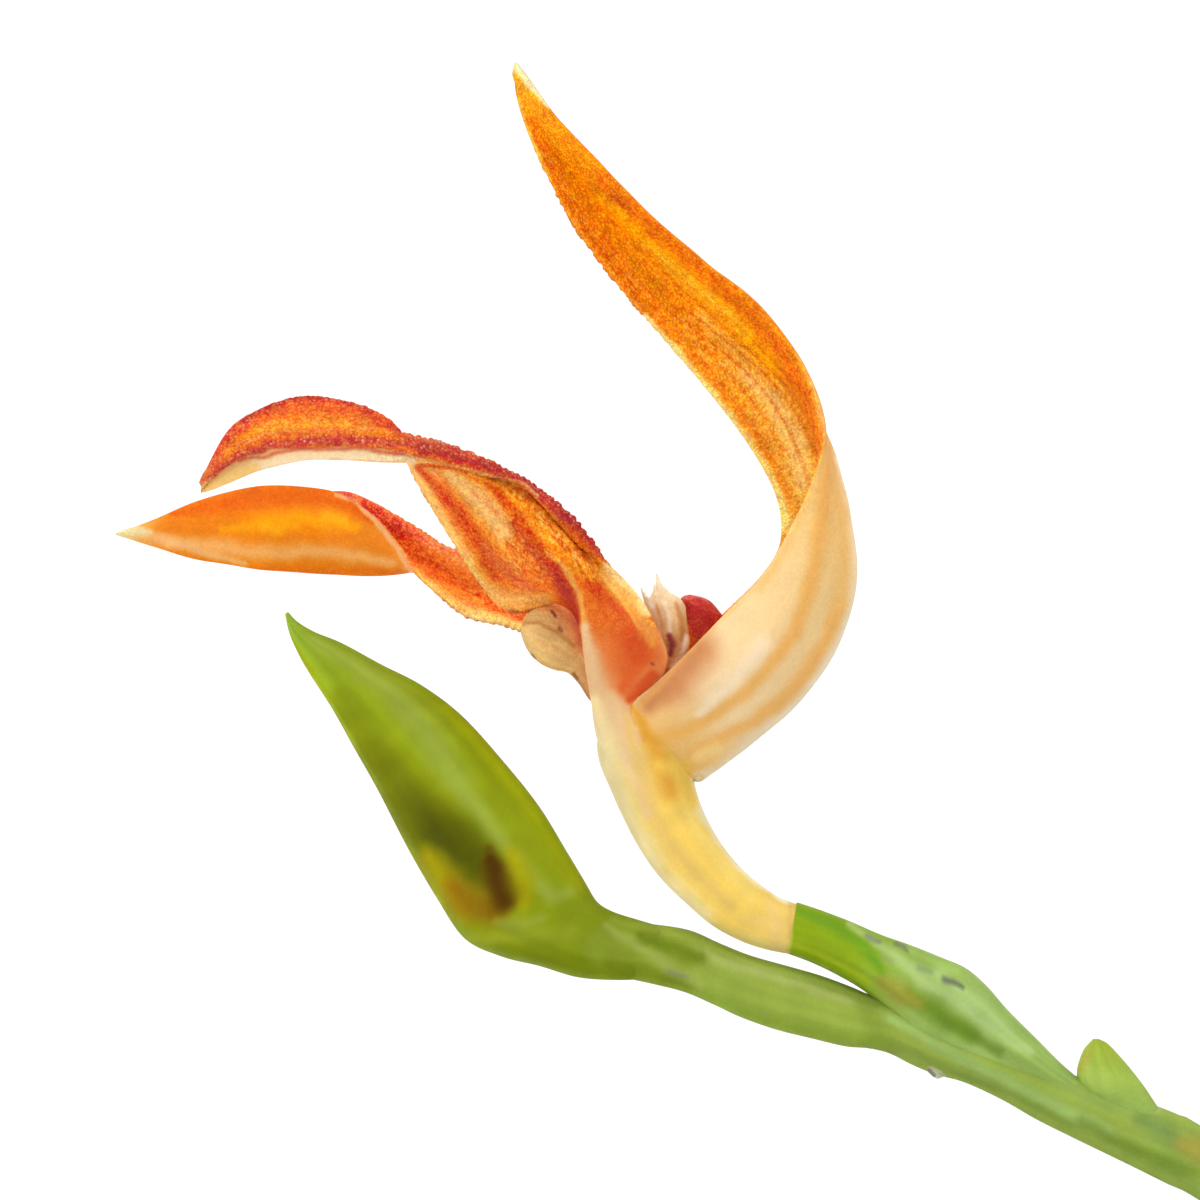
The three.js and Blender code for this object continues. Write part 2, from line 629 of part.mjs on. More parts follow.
addPiece('scape', geometryOf(makeScape(0)), stalkGreen);
addPiece('pedicel_sheath', geometryOf(cutBy(solid(makeSheath()), [scapeRoom])), stalkGreen);
addPiece('bud_bract', geometryOf(cutBy(solid(makeBud()), [scapeRoom])), budGreen);

addPiece('ovary', geometryOf(makeOvary(0)), pedicelYellow);
const ovaryRoom = makeOvary(seatGap);
const addSepal = (name, lines, finish) =>
  addPiece(name, geometryOf(cutBy(solid(blade(...lines, sepalSteps)), [ovaryRoom])), finish);
addSepal('dorsal_sepal', dorsalSepal, sepalOrange);
addSepal('near_lateral_sepal', nearLateralSepal, sepalRed);
addSepal('far_lateral_sepal', farLateralSepal, sepalOrange);
addPiece('near_petal', petalBlade(-1), petalWhite);
addPiece('far_petal', petalBlade(1), petalWhite);
addPiece('lip', stalk(lipLine, lipHalfWide, lipHalfDeep, 8, 8, towardsViewer), lipAmber);
addPiece('column', stalk(columnLine, columnRadius, columnRadius, 8, 8, towardsViewer), columnRed);

export default group;
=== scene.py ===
import math
import random

import bpy
import numpy as np
from mathutils import Matrix, Vector, noise


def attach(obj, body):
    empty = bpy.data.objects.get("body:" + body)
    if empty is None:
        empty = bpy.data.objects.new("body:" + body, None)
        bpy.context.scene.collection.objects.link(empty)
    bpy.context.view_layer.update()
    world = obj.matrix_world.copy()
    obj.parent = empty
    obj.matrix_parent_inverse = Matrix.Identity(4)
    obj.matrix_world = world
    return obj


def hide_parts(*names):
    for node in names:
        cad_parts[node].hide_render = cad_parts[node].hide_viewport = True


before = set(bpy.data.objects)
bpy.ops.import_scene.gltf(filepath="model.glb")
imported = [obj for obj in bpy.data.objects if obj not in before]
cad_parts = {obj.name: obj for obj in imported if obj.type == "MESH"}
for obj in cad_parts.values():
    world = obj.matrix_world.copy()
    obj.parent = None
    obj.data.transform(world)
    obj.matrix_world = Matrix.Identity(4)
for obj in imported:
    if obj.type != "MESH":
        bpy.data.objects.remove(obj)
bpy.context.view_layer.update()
print("frame loaded:", len(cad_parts), "nodes")

# lengths are in mm unless a note says otherwise, and meshes are made in metres
toMetres = 0.001

# how the flower sits in the photograph
photo = {
    "width": 1200,
    "pixelsPerMm": 45,
    "middleX": -35.3,      # what the centre of the picture looks at
    "middleZ": 140.7,
    "distance": 190,       # from the camera to the plane of the flower
    "sensor": 36,
    "clip": (0.01, 20),    # in metres
}


def pixelScale(depth):
    # picture pixels to the mm, at a depth behind the flower's plane
    return photo["pixelsPerMm"] * photo["distance"] / (photo["distance"] + depth)


def traced(points):
    # picture pixels and a depth behind the flower's plane, to x, y, z
    px, py, depth = np.array(points, float).T
    scale, middle = pixelScale(depth), photo["width"] / 2
    return np.stack([photo["middleX"] + (px - middle) / scale, depth,
                     photo["middleZ"] - (py - middle) / scale], -1)


def seenAt(points):
    # the picture pixels that points show at
    scale, middle = pixelScale(points[..., 1]), photo["width"] / 2
    return np.stack([middle + (points[..., 0] - photo["middleX"]) * scale,
                     middle - (points[..., 2] - photo["middleZ"]) * scale], -1)


# camera, light and floor, with lengths in metres
studio = {
    "worldStrength": 1.12,
    "white": (1, 1, 1, 1),
    "lights": [
        # name, place, size, watts, what it is aimed at
        ("overheadSoftbox", (-0.25, -0.35, 0.95), 0.7, 4.0, (-0.02, 0, 0.09)),
        ("sideSoftbox", (0.8, -0.35, 0.45), 0.6, 2.0, (-0.02, 0, 0.09)),
        ("backSoftbox", (-0.45, 0.75, 0.55), 0.7, 3.0, (-0.02, 0, 0.09)),
        ("flowerSoftbox", (-0.16, -0.24, 0.32), 0.2, 0.12, (-0.04, 0, 0.14)),
        ("fillSoftbox", (-0.28, -0.2, 0.1), 0.22, 0.34, (-0.035, 0, 0.14)),
    ],
    "floorRadius": 0.55, "floorSteps": 128,
    "floorFade": (0.12, 0.5225),      # from grey under the pot to the white room
    "floorGrey": (0.9, 0.9, 0.9, 1), "floorRoughness": 0.8, "floorSpecular": 0.1,
}


def buildCamera():
    data = bpy.data.cameras.new("camera")
    camera = bpy.data.objects.new("camera", data)
    bpy.context.scene.collection.objects.link(camera)
    camera.location = Vector((photo["middleX"], -photo["distance"], photo["middleZ"])) * toMetres
    camera.rotation_euler = (math.pi / 2, 0, 0)
    data.sensor_width = photo["sensor"]
    data.lens = photo["sensor"] * photo["distance"] * photo["pixelsPerMm"] / photo["width"]
    data.clip_start, data.clip_end = photo["clip"]
    bpy.context.scene.camera = camera


def buildLights():
    scene = bpy.context.scene
    scene.view_settings.view_transform = "Standard"
    world = bpy.data.worlds.new("whiteRoom")
    scene.world = world
    world.use_nodes = True
    background = world.node_tree.nodes["Background"]
    background.inputs["Color"].default_value = studio["white"]
    background.inputs["Strength"].default_value = studio["worldStrength"]
    for name, place, size, watts, aimedAt in studio["lights"]:
        data = bpy.data.lights.new(name, "AREA")
        data.shape = "DISK"
        data.size = size
        data.energy = watts
        light = bpy.data.objects.new(name, data)
        scene.collection.objects.link(light)
        light.location = place
        aim = Vector(aimedAt) - Vector(place)
        light.rotation_euler = aim.to_track_quat("-Z", "Y").to_euler()
        light.visible_camera = False


def plug(tree, socket, value):
    # a link where the value comes from another node, and else a plain setting
    if isinstance(value, bpy.types.NodeSocket):
        tree.links.new(value, socket)
    else:
        socket.default_value = value


def addNode(tree, kind, inputs=None, **settings):
    node = tree.nodes.new("ShaderNode" + kind)
    for name, value in settings.items():
        setattr(node, name, value)
    for name, value in (inputs or {}).items():
        plug(tree, node.inputs[name], value)
    return node


def mixColour(tree, factor, first, second, how="MIX"):
    # sockets 0, 6 and 7 of a colour mix are its factor and its two colours
    return addNode(tree, "Mix", {0: factor, 6: first, 7: second}, data_type="RGBA", blend_type=how,
                   clamp_factor=True).outputs[2]


def mathNode(tree, how, first, second=0.0, third=0.0):
    return addNode(tree, "Math", {0: first, 1: second, 2: third}, operation=how).outputs[0]


def times(tree, first, second):
    return mathNode(tree, "MULTIPLY", first, second)


def spread(tree, value, fromLow, fromHigh, toLow=0.0, toHigh=1.0, smooth=True):
    names = ("Value", "From Min", "From Max", "To Min", "To Max")
    inputs = dict(zip(names, (value, fromLow, fromHigh, toLow, toHigh)))
    kind = "SMOOTHSTEP" if smooth else "LINEAR"
    return addNode(tree, "MapRange", inputs, interpolation_type=kind).outputs[0]


def inMm(tree, stretch=(1, 1, 1)):
    # object coordinates counted in mm
    place = addNode(tree, "TexCoord").outputs["Object"]
    scale = tuple(value / toMetres for value in stretch)
    return addNode(tree, "Mapping", {"Vector": place, "Scale": scale}).outputs[0]


def noiseAt(tree, place, scale, detail, roughness=0.5):
    inputs = {"Vector": place, "Scale": scale, "Detail": float(detail), "Roughness": roughness}
    return addNode(tree, "TexNoise", inputs).outputs["Fac"]


def attributeAt(tree, name):
    return addNode(tree, "Attribute", attribute_name=name).outputs["Fac"]


def newMaterial(name):
    material = bpy.data.materials.new(name)
    material.use_nodes = True
    tree = material.node_tree
    return material, tree, tree.nodes["Principled BSDF"], tree.nodes["Material Output"]


def dress(tree, surface, colour, roughness, specular, height, strength, depth):
    # the shader's colour and gloss, and a relief as deep as depth
    relief = {"Height": height, "Strength": strength, "Distance": depth * toMetres}
    normal = addNode(tree, "Bump", relief).outputs[0]
    for name, value in (("Base Color", colour), ("Roughness", roughness),
                        ("Specular IOR Level", specular), ("Normal", normal)):
        plug(tree, surface.inputs[name], value)
    return normal


def newGroup(name, inputs, outputs):
    tree = bpy.data.node_groups.new(name, "ShaderNodeTree")
    kinds = {"colour": "NodeSocketColor", "number": "NodeSocketFloat"}
    for side, sockets in (("INPUT", inputs), ("OUTPUT", outputs)):
        for label, kind in sockets:
            tree.interface.new_socket(name=label, in_out=side, socket_type=kinds[kind])
    return tree, tree.nodes.new("NodeGroupInput").outputs, tree.nodes.new("NodeGroupOutput").inputs


def placeGroup(tree, group, **values):
    node = tree.nodes.new("ShaderNodeGroup")
    node.node_tree = group
    for name, value in values.items():
        plug(tree, node.inputs[name], value)
    return node.outputs


def linear(colour):
    colour = np.asarray(colour, float)
    return np.where(colour <= 0.04045, colour / 12.92, ((colour + 0.055) / 1.055) ** 2.4)


def rgb(red, green, blue):
    return np.array([red, green, blue]) / 255


def rgba(red, green, blue):
    return (*linear(rgb(red, green, blue)), 1)


def buildFloor():
    bpy.ops.object.select_all(action="DESELECT")
    bpy.ops.mesh.primitive_circle_add(vertices=studio["floorSteps"], radius=studio["floorRadius"],
                                      fill_type="NGON")
    floor = bpy.context.object
    floor.name = "floor"
    material, tree, surface, output = newMaterial("paleFloor")
    surface.inputs["Base Color"].default_value = studio["floorGrey"]
    surface.inputs["Roughness"].default_value = studio["floorRoughness"]
    surface.inputs["Specular IOR Level"].default_value = studio["floorSpecular"]
    place = addNode(tree, "TexCoord").outputs["Object"]
    distance = addNode(tree, "VectorMath", {0: place}, operation="LENGTH").outputs["Value"]
    fade = spread(tree, distance, *studio["floorFade"])
    glow = addNode(tree, "Emission", {"Color": studio["white"], "Strength": studio["worldStrength"]})
    both = addNode(tree, "MixShader", {0: fade, 1: surface.outputs[0], 2: glow.outputs[0]})
    tree.links.new(both.outputs[0], output.inputs["Surface"])
    floor.data.materials.append(material)


buildCamera()
buildLights()
buildFloor()
print("camera, lights and floor made")


# lines and skins

def splineAt(points, places):
    # a smooth line through points, at places that count the points
    points = np.asarray(points, float)
    ends = 2 * points[:1] - points[1:2], 2 * points[-1:] - points[-2:-1]
    padded = np.concatenate([ends[0], points, ends[1]])
    first = np.clip(places.astype(int), 0, len(points) - 2)
    f = (places - first).reshape(-1, *[1] * (points.ndim - 1))
    a, b, c, d = (padded[first + i] for i in range(4))
    return 0.5 * (2 * b + (c - a) * f + (2 * a - 5 * b + 4 * c - d) * f**2 + (3 * b - a - 3 * c + d) * f**3)


def evenPlaces(points, count, looks=600):
    # places that lie equally far apart along the line
    places = np.linspace(0, len(points) - 1, looks)
    steps = np.linalg.norm(np.diff(splineAt(points, places), axis=0), axis=-1)
    travelled = np.concatenate([[0], np.cumsum(steps)])
    return np.interp(np.linspace(0, travelled[-1], count), travelled, places)


def unit(vectors):
    return vectors / np.maximum(np.linalg.norm(vectors, axis=-1, keepdims=True), 1e-9)


def eased(share):
    return share * share * (3 - 2 * share)


def wobble(points, size, seed=0):
    # smooth noise from -1 to 1 at each point, with waves of about that size
    shift = Vector((seed * 17.3, seed * 5.1, seed * 9.7))
    flat = points.reshape(-1, points.shape[-1]) / size
    if flat.shape[1] == 2:
        flat = np.concatenate([flat, np.zeros((len(flat), 1))], 1)
    return np.array([noise.noise(Vector(p) + shift) for p in flat]).reshape(points.shape[:-1])


def domes(points, size, steepness=2.2):
    # small rounded cells, 1 at each one's middle and 0 between them
    flat = points.reshape(-1, 3) / size
    near = np.array([noise.voronoi(Vector(p))[0][0] for p in flat]).reshape(points.shape[:-1])
    return np.clip(1 - near * near * steepness, 0, 1)


def closeSeams(distance):
    # merges points nearer than distance in metres, and turns every face outwards
    bpy.ops.object.mode_set(mode="EDIT")
    bpy.ops.mesh.select_all(action="SELECT")
    bpy.ops.mesh.remove_doubles(threshold=distance)
    bpy.ops.mesh.normals_make_consistent(inside=False)
    bpy.ops.object.mode_set(mode="OBJECT")


def wrapSkin(name, points, values, colours=None, lit=1, brightest=0.97):
    # a grid wrapped round into one closed skin: its last column lies on its first, and its end rows shut
    # colours are noted as they look, and lit is how far the studio light lifts them
    rows, columns = points.shape[:2]
    bpy.ops.object.select_all(action="DESELECT")
    bpy.ops.mesh.primitive_grid_add(x_subdivisions=columns - 1, y_subdivisions=rows - 1, size=1)
    piece = bpy.context.object
    piece.name = name
    piece.data.name = name
    piece.data.vertices.foreach_set("co", (points * toMetres).astype(np.float32).ravel())
    for label, value in values.items():
        attribute = piece.data.attributes.new(label, "FLOAT", "POINT")
        attribute.data.foreach_set("value", np.asarray(value, np.float32).ravel())
    if colours is not None:
        attribute = piece.data.color_attributes.new("tint", "FLOAT_COLOR", "POINT")
        shown = np.minimum(linear(np.clip(colours, 0, 1)) / lit, brightest)
        whole = np.concatenate([shown, np.ones((rows, columns, 1))], -1)
        attribute.data.foreach_set("color", whole.astype(np.float32).ravel())
    closeSeams(2e-6)
    bpy.ops.object.shade_smooth()
    return piece


def joinOnto(piece, others):
    bpy.ops.object.select_all(action="DESELECT")
    for part in (*others, piece):
        part.select_set(True)
    bpy.context.view_layer.objects.active = piece
    bpy.ops.object.join()


def carry(piece, node):
    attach(piece, "root")
    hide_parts(node)
    print("made", piece.name, "with", len(piece.data.polygons), "faces")


# painting: strokes of colour placed where the photograph shows them

def strokeShare(seen, line, softness=1.0):
    # how much of a stroke falls on each place: line holds x, y and reach in picture pixels
    line = np.array(line, float)
    share = np.zeros(seen.shape[:-1])
    for start, end in zip(line[:-1], line[1:]):
        span = end[:2] - start[:2]
        t = np.clip(((seen - start[:2]) @ span) / max(span @ span, 1e-6), 0, 1)
        gap = np.linalg.norm(seen - start[:2] - t[..., None] * span, axis=-1)
        reach = start[2] + (end[2] - start[2]) * t
        share = np.maximum(share, np.clip((reach - gap) / (reach * softness), 0, 1))
    return eased(share)


def warped(seen, amount=2.5, size=16):
    # shifted a few pixels here and there, so that no stroke has a drawn edge
    shift = np.stack([wobble(seen, size, 1), wobble(seen, size, 2)], -1)
    return seen + shift * amount


def paint(tint, seen, strokes, faces=None):
    # a stroke: its face where there are two, colour, strength, softness where it isn't 1, and line
    for stroke in strokes:
        face = "both"
        if faces:
            face, *stroke = stroke
        colour, strength, *softness, line = stroke
        share = strokeShare(seen, line, *softness) * strength
        if face != "both":
            share = share * faces[face]
        tint += (rgb(*colour) - tint) * share[..., None]
    return tint


def blend(stops, share):
    places = [place for place, _ in stops]
    colours = np.array([rgb(*colour) for _, colour in stops])
    return np.stack([np.interp(share, places, colours[:, i]) for i in range(3)], -1)


# living skin: painted tint, fine cells, and light through it

skinCells = {
    "dome": (0.05, 0.75), "domeRest": 0.45,              # a cell from its middle to its edge
    "clumpShare": 0.42, "clumpRoughness": 0.65, "clumpWeight": 2.2, "wideScale": 1.1,
    "hueSwing": 0.12, "hueRest": 0.506,
    "threadScale": 7.5, "threadRoughness": 0.75,         # the golden web
    "thin": (0.5, 0.62), "thinShare": 0.7, "thinColour": rgba(255, 218, 104),
    "thick": (0.36, 0.48), "thickShare": 0.8, "thickColour": rgba(250, 190, 120),
    "glint": (0.5, 0.9), "glintColour": rgba(250, 208, 176),
}


def makeSkinGrain():
    # darker between the cells, a few that sparkle, and a golden web where the skin is thin
    numbers = ("Grain", "Glint", "Web", "Cells", "Contrast", "Blotches")
    tree, given, result = newGroup(
        "skinGrain", [("Tint", "colour")] + [(label, "number") for label in numbers],
        [("Colour", "colour"), ("Height", "number"), ("Gloss", "number")])
    place = inMm(tree)
    cells = addNode(tree, "TexVoronoi", {"Vector": place, "Scale": given["Cells"]})
    dome = spread(tree, cells.outputs["Distance"], *skinCells["dome"], 1.0, 0.0)
    coarse = times(tree, given["Cells"], skinCells["clumpShare"])
    clumps = noiseAt(tree, place, coarse, 3, skinCells["clumpRoughness"])
    wide = noiseAt(tree, place, skinCells["wideScale"], 3)
    clumped = times(tree, mathNode(tree, "SUBTRACT", clumps, 0.5), skinCells["clumpWeight"])
    shade = mathNode(tree, "ADD", mathNode(tree, "SUBTRACT", dome, skinCells["domeRest"]), clumped)
    strength = times(tree, given["Grain"], given["Contrast"])
    broad = times(tree, mathNode(tree, "SUBTRACT", wide, 0.5), given["Blotches"])
    value = mathNode(tree, "ADD", mathNode(tree, "MULTIPLY_ADD", shade, strength, 1.0), broad)
    swing, rest = skinCells["hueSwing"], skinCells["hueRest"]
    hue = mathNode(tree, "MULTIPLY_ADD", times(tree, shade, strength), swing, rest)
    toned = addNode(tree, "HueSaturation", {"Color": given["Tint"], "Value": value, "Hue": hue}).outputs[0]
    threads = noiseAt(tree, place, skinCells["threadScale"], 4, skinCells["threadRoughness"])
    thin = times(tree, spread(tree, threads, *skinCells["thin"]), given["Web"])
    thick = times(tree, spread(tree, threads, *skinCells["thick"], 1.0, 0.0), given["Web"])
    thick = times(tree, thick, skinCells["thickShare"])
    toned = mixColour(tree, thick, toned, skinCells["thickColour"], "MULTIPLY")
    toned = mixColour(tree, times(tree, thin, skinCells["thinShare"]), toned, skinCells["thinColour"])
    chance = addNode(tree, "SeparateColor", {0: cells.outputs["Color"]}).outputs[0]
    glint = times(tree, times(tree, spread(tree, chance, *skinCells["glint"]), dome), given["Glint"])
    tree.links.new(mixColour(tree, glint, toned, skinCells["glintColour"]), result["Colour"])
    tree.links.new(times(tree, mathNode(tree, "ADD", dome, clumps), given["Grain"]), result["Height"])
    tree.links.new(dome, result["Gloss"])
    return tree


skinGrain = makeSkinGrain()


def makeLivingSkin(name, look):
    material, tree, surface, output = newMaterial(name)
    tint = addNode(tree, "Attribute", attribute_name="tint").outputs["Color"]
    values = {label.capitalize(): attributeAt(tree, label) for label in ("grain", "glint", "web")}
    values.update({label.capitalize(): look[label] for label in ("cells", "contrast", "blotches")})
    made = placeGroup(tree, skinGrain, Tint=tint, **values)
    glossy, dull = look["roughness"]
    rough = spread(tree, made["Gloss"], 0, 1, dull, glossy, smooth=False)
    normal = dress(tree, surface, made["Colour"], rough, look["specular"],
                   made["Height"], look["bump"], look["bumpDepth"])
    through = addNode(tree, "BsdfTranslucent", {"Color": made["Colour"], "Normal": normal})
    both = addNode(tree, "MixShader", {0: look["through"], 1: surface.outputs[0], 2: through.outputs[0]})
    tree.links.new(both.outputs[0], output.inputs["Surface"])
    return material


def livingPiece(name, points, values, tint, lit, look):
    piece = wrapSkin(name, points, values, tint, lit)
    piece.data.materials.append(makeLivingSkin(name + "Skin", look))
    return piece


# sepals

sepalLook = {
    "cells": 15, "contrast": 0.3, "blotches": 0.14, "bump": 0.7, "bumpDepth": 0.03,
    "roughness": (0.38, 0.6), "specular": 0.1, "through": 0.35,
}

# where the sepals and the ovary grow together they share these colours: colour, strength, softness, path
cupStrokes = [
    ((238, 194, 104), 1.0, 0.7, [(606, 768, 24), (640, 770, 30), (668, 782, 28)]),
    ((233, 197, 146), 0.95, 0.8,
     [(612, 700, 16), (614, 722, 20), (624, 745, 22), (636, 775, 14), (650, 815, 10)]),
    ((244, 226, 172), 0.95, 0.9,
     [(594, 704, 13), (600, 735, 22), (610, 785, 30), (628, 832, 30), (660, 882, 27), (702, 917, 20)]),
    ((230, 190, 108), 0.7,
     [(628, 720, 8), (634, 752, 10), (645, 792, 12), (662, 832, 12), (692, 872, 12), (732, 905, 10)]),
    ((230, 162, 56), 0.9, [(632, 706, 5), (644, 728, 11), (660, 756, 19), (672, 792, 18)]),
    # painted light: lifts the shade on the ovary's right side where the sepals meet it
    ((246, 200, 86), 0.85, [(660, 764, 12), (682, 772, 20), (690, 798, 16)]),
    ((250, 222, 144), 0.85, [(698, 756, 10), (716, 748, 12)]),
    ((250, 236, 196), 0.85, 0.9, [(697, 779, 10), (704, 776, 8)]),
    ((226, 196, 130), 0.5, 0.6, [(693, 781, 2), (697, 775, 2), (703, 778, 2), (700, 784, 2)]),
]

dorsalSepal = {
    # rails from the base to the tip: near edge, between, keel, between, far edge
    "rails": [
        [(650, 768, -.9), (638, 735, -1.03), (632, 706, -1.2), (655, 684, -1.38), (683, 657, -1.5),
         (722, 617, -1.55), (765, 572, -1.6), (793, 525, -1.55), (815, 477, -1.3), (826, 430, -.9),
         (808, 372, -.65), (765, 310, -.6), (705, 261, -.6), (645, 209, -.58), (598, 160, -.5),
         (558, 118, -.35), (532, 82, -.15), (517, 62, 0)],
        [(668, 775, -.8), (664, 750, -.9), (672, 730, -1.08), (688, 716, -1.22), (712, 700, -1.35),
         (752, 665, -1.4), (795, 618, -1.35), (822, 566, -1.2), (831, 510, -.95), (827, 448, -.5),
         (806, 384, .05), (757, 327, .3), (695, 276, .35), (632, 219, .3), (586, 168, .2),
         (551, 126, .1), (528, 88, .08), (516, 63, .05)],
        [(684, 778, 0), (699, 782, 0), (712, 774, 0), (730, 761, 0), (757, 740, 0),
         (800, 702, .02), (839, 645, .08), (857, 578, .2), (850, 512, .45), (828, 440, .8),
         (790, 387, 1.0), (738, 342, 1.05), (678, 290, .95), (617, 226, .85), (574, 172, .65),
         (543, 133, .45), (524, 93, .3), (515, 63, .1)],
        [(668, 775, .8), (664, 750, .9), (672, 730, 1.08), (688, 716, 1.22), (712, 697, 1.35),
         (752, 660, 1.45), (793, 605, 1.45), (815, 560, 1.4), (812, 505, 1.35), (790, 450, 1.2),
         (757, 398, .95), (712, 357, .8), (648, 305, .65), (595, 240, .55), (558, 180, .42),
         (535, 140, .35), (520, 100, .25), (515, 63, .12)],
        [(650, 768, .9), (638, 735, 1.03), (632, 706, 1.2), (655, 684, 1.38), (683, 655, 1.5),
         (722, 615, 1.6), (762, 575, 1.62), (781, 540, 1.6), (776, 495, 1.45), (750, 447, 1.15),
         (715, 400, .75), (675, 352, .5), (622, 290, .3), (574, 226, .22), (542, 165, .2),
         (526, 128, .22), (516, 94, .2), (514, 64, .15)],
    ],
    "rows": 560, "columns": 80, "turned": 1, "lit": (1.0, 1.13), "thickness": 0.3, "edgeShare": 0.22,
    "insideStops": [(0, (228, 130, 60)), (0.3, (245, 184, 76)), (0.5, (245, 176, 50)),
                    (0.62, (244, 158, 14)), (0.8, (243, 150, 2)), (0.93, (241, 154, 6)), (1, (240, 176, 40))],
    "outsideStops": [(0, (236, 186, 100)), (0.06, (240, 200, 130)), (0.12, (245, 224, 178)),
                     (0.3, (240, 212, 152)), (0.42, (237, 190, 108)), (0.55, (236, 160, 60)),
                     (1, (236, 136, 26))],
    "insideGrain": 1.0, "outsideGrain": (0.12, 0.2, 0.2, 0.2),
    # rough margins: across, reach, from, to, height
    "papillae": [(1.0, 0.05, 0.45, 0.9, 0.055)],
    # veins: across, width, from, to, strength
    "veinFace": "inside", "veinColour": (218, 98, 6),
    "veins": [(0.3, 0.012, 0.42, 0.8, 0.4), (0.4, 0.014, 0.4, 0.75, 0.5), (0.5, 0.014, 0.4, 0.78, 0.55),
              (0.6, 0.014, 0.38, 0.72, 0.55), (0.7, 0.014, 0.38, 0.85, 0.5), (0.8, 0.012, 0.4, 0.9, 0.35)],
    "strokes": [
        ("inside", (234, 118, 2), 0.5,
         [(530, 120, 8), (562, 190, 16), (612, 270, 20), (672, 345, 20), (735, 425, 16)]),
        ("inside", (230, 116, 8), 0.75,
         [(600, 180, 14), (650, 225, 20), (710, 278, 24), (770, 338, 26), (802, 395, 17), (816, 450, 12)]),
        ("inside", (200, 84, 20), 0.5, [(612, 194, 9), (628, 214, 8)]),
        ("inside", (255, 182, 4), 1.0,
         [(600, 196, 8), (643, 240, 12), (697, 287, 17), (735, 322, 17), (775, 370, 12)]),
        ("inside", (255, 206, 44), 0.7, [(655, 252, 6), (700, 290, 9), (728, 314, 9), (748, 336, 7)]),
        ("inside", (250, 198, 76), 0.9,
         [(700, 314, 10), (742, 362, 20), (773, 402, 25), (796, 444, 26), (804, 492, 22)]),
        ("inside", (255, 230, 146), 0.9, [(744, 372, 8), (773, 403, 15), (796, 442, 18), (802, 482, 16)]),
        ("inside", (238, 134, 12), 0.75,
         [(694, 352, 6), (733, 400, 10), (760, 443, 10), (780, 482, 8), (788, 515, 7)]),
        ("inside", (234, 116, 10), 0.65, [(776, 338, 7), (796, 375, 8), (810, 410, 8), (822, 448, 7)]),
        ("both", (238, 226, 176), 0.97, 0.5, [(511, 56, 11), (523, 71, 10), (536, 88, 8), (549, 106, 5)]),
        ("both", (250, 214, 100), 0.85, [(516, 100, 6), (522, 122, 8), (532, 148, 9), (546, 180, 7)]),
        ("both", (253, 232, 140), 1.0, 0.7,
         [(646, 316, 4), (676, 352, 7), (708, 392, 11), (745, 442, 13), (770, 484, 13), (785, 525, 13)]),
        ("both", (240, 186, 110), 0.9, 0.9, [(786, 325, 5), (809, 366, 8), (822, 402, 10), (829, 442, 9)]),
        ("inside", (120, 60, 20), 0.6, [(641, 205, 2), (645, 206, 2)]),
        ("inside", (150, 84, 30), 0.6, [(742, 346, 3), (748, 350, 2)]),
        ("outside", (255, 250, 232), 0.9,
         [(697, 784, 12), (730, 764, 14), (757, 744, 15), (800, 706, 17), (842, 645, 17), (860, 580, 15),
          (853, 510, 11), (838, 460, 6)]),
        ("outside", (240, 182, 98), 0.85,
         [(655, 742, 12), (700, 724, 12), (740, 697, 13), (770, 665, 13), (795, 632, 13), (812, 580, 14),
          (820, 530, 14), (828, 470, 10)]),
        ("outside", (244, 186, 104), 0.85,
         [(690, 752, 9), (720, 740, 11), (750, 723, 12), (780, 702, 13), (806, 674, 13), (828, 636, 13),
          (840, 604, 13)]),
        ("outside", (246, 200, 120), 0.7, [(838, 610, 16), (846, 560, 16), (846, 515, 12), (840, 478, 8)]),
        ("outside", (252, 238, 206), 0.85, [(700, 712, 8), (735, 682, 16), (762, 644, 18)]),
        ("outside", (200, 126, 78), 0.85, [(648, 704, 18), (674, 682, 38), (698, 652, 36)]),
        ("outside", (240, 196, 120), 0.6, [(760, 590, 8), (785, 550, 9), (806, 500, 8)]),
        ("outside", (240, 180, 96), 0.4, 0.9, [(640, 706, 5), (670, 674, 5), (722, 618, 4), (760, 578, 4)]),
        ("outside", (252, 236, 196), 0.7, [(838, 452, 7), (853, 505, 11), (860, 560, 13), (854, 610, 11)]),
    ] + [("outside", *stroke) for stroke in cupStrokes],
    "glints": [],
    "webs": [
        (0.4, 1.0, [(535, 140, 10), (566, 200, 16), (620, 275, 24), (680, 340, 28)]),
        (1.0, 1.0, [(690, 325, 18), (740, 375, 34), (778, 420, 38), (798, 490, 30)]),
        (0.4, 1.0, [(643, 244, 10), (697, 287, 14), (735, 322, 14)]),
        (0.4, 1.0, [(650, 322, 6), (708, 394, 12), (745, 444, 13), (785, 525, 12)]),
    ],
}

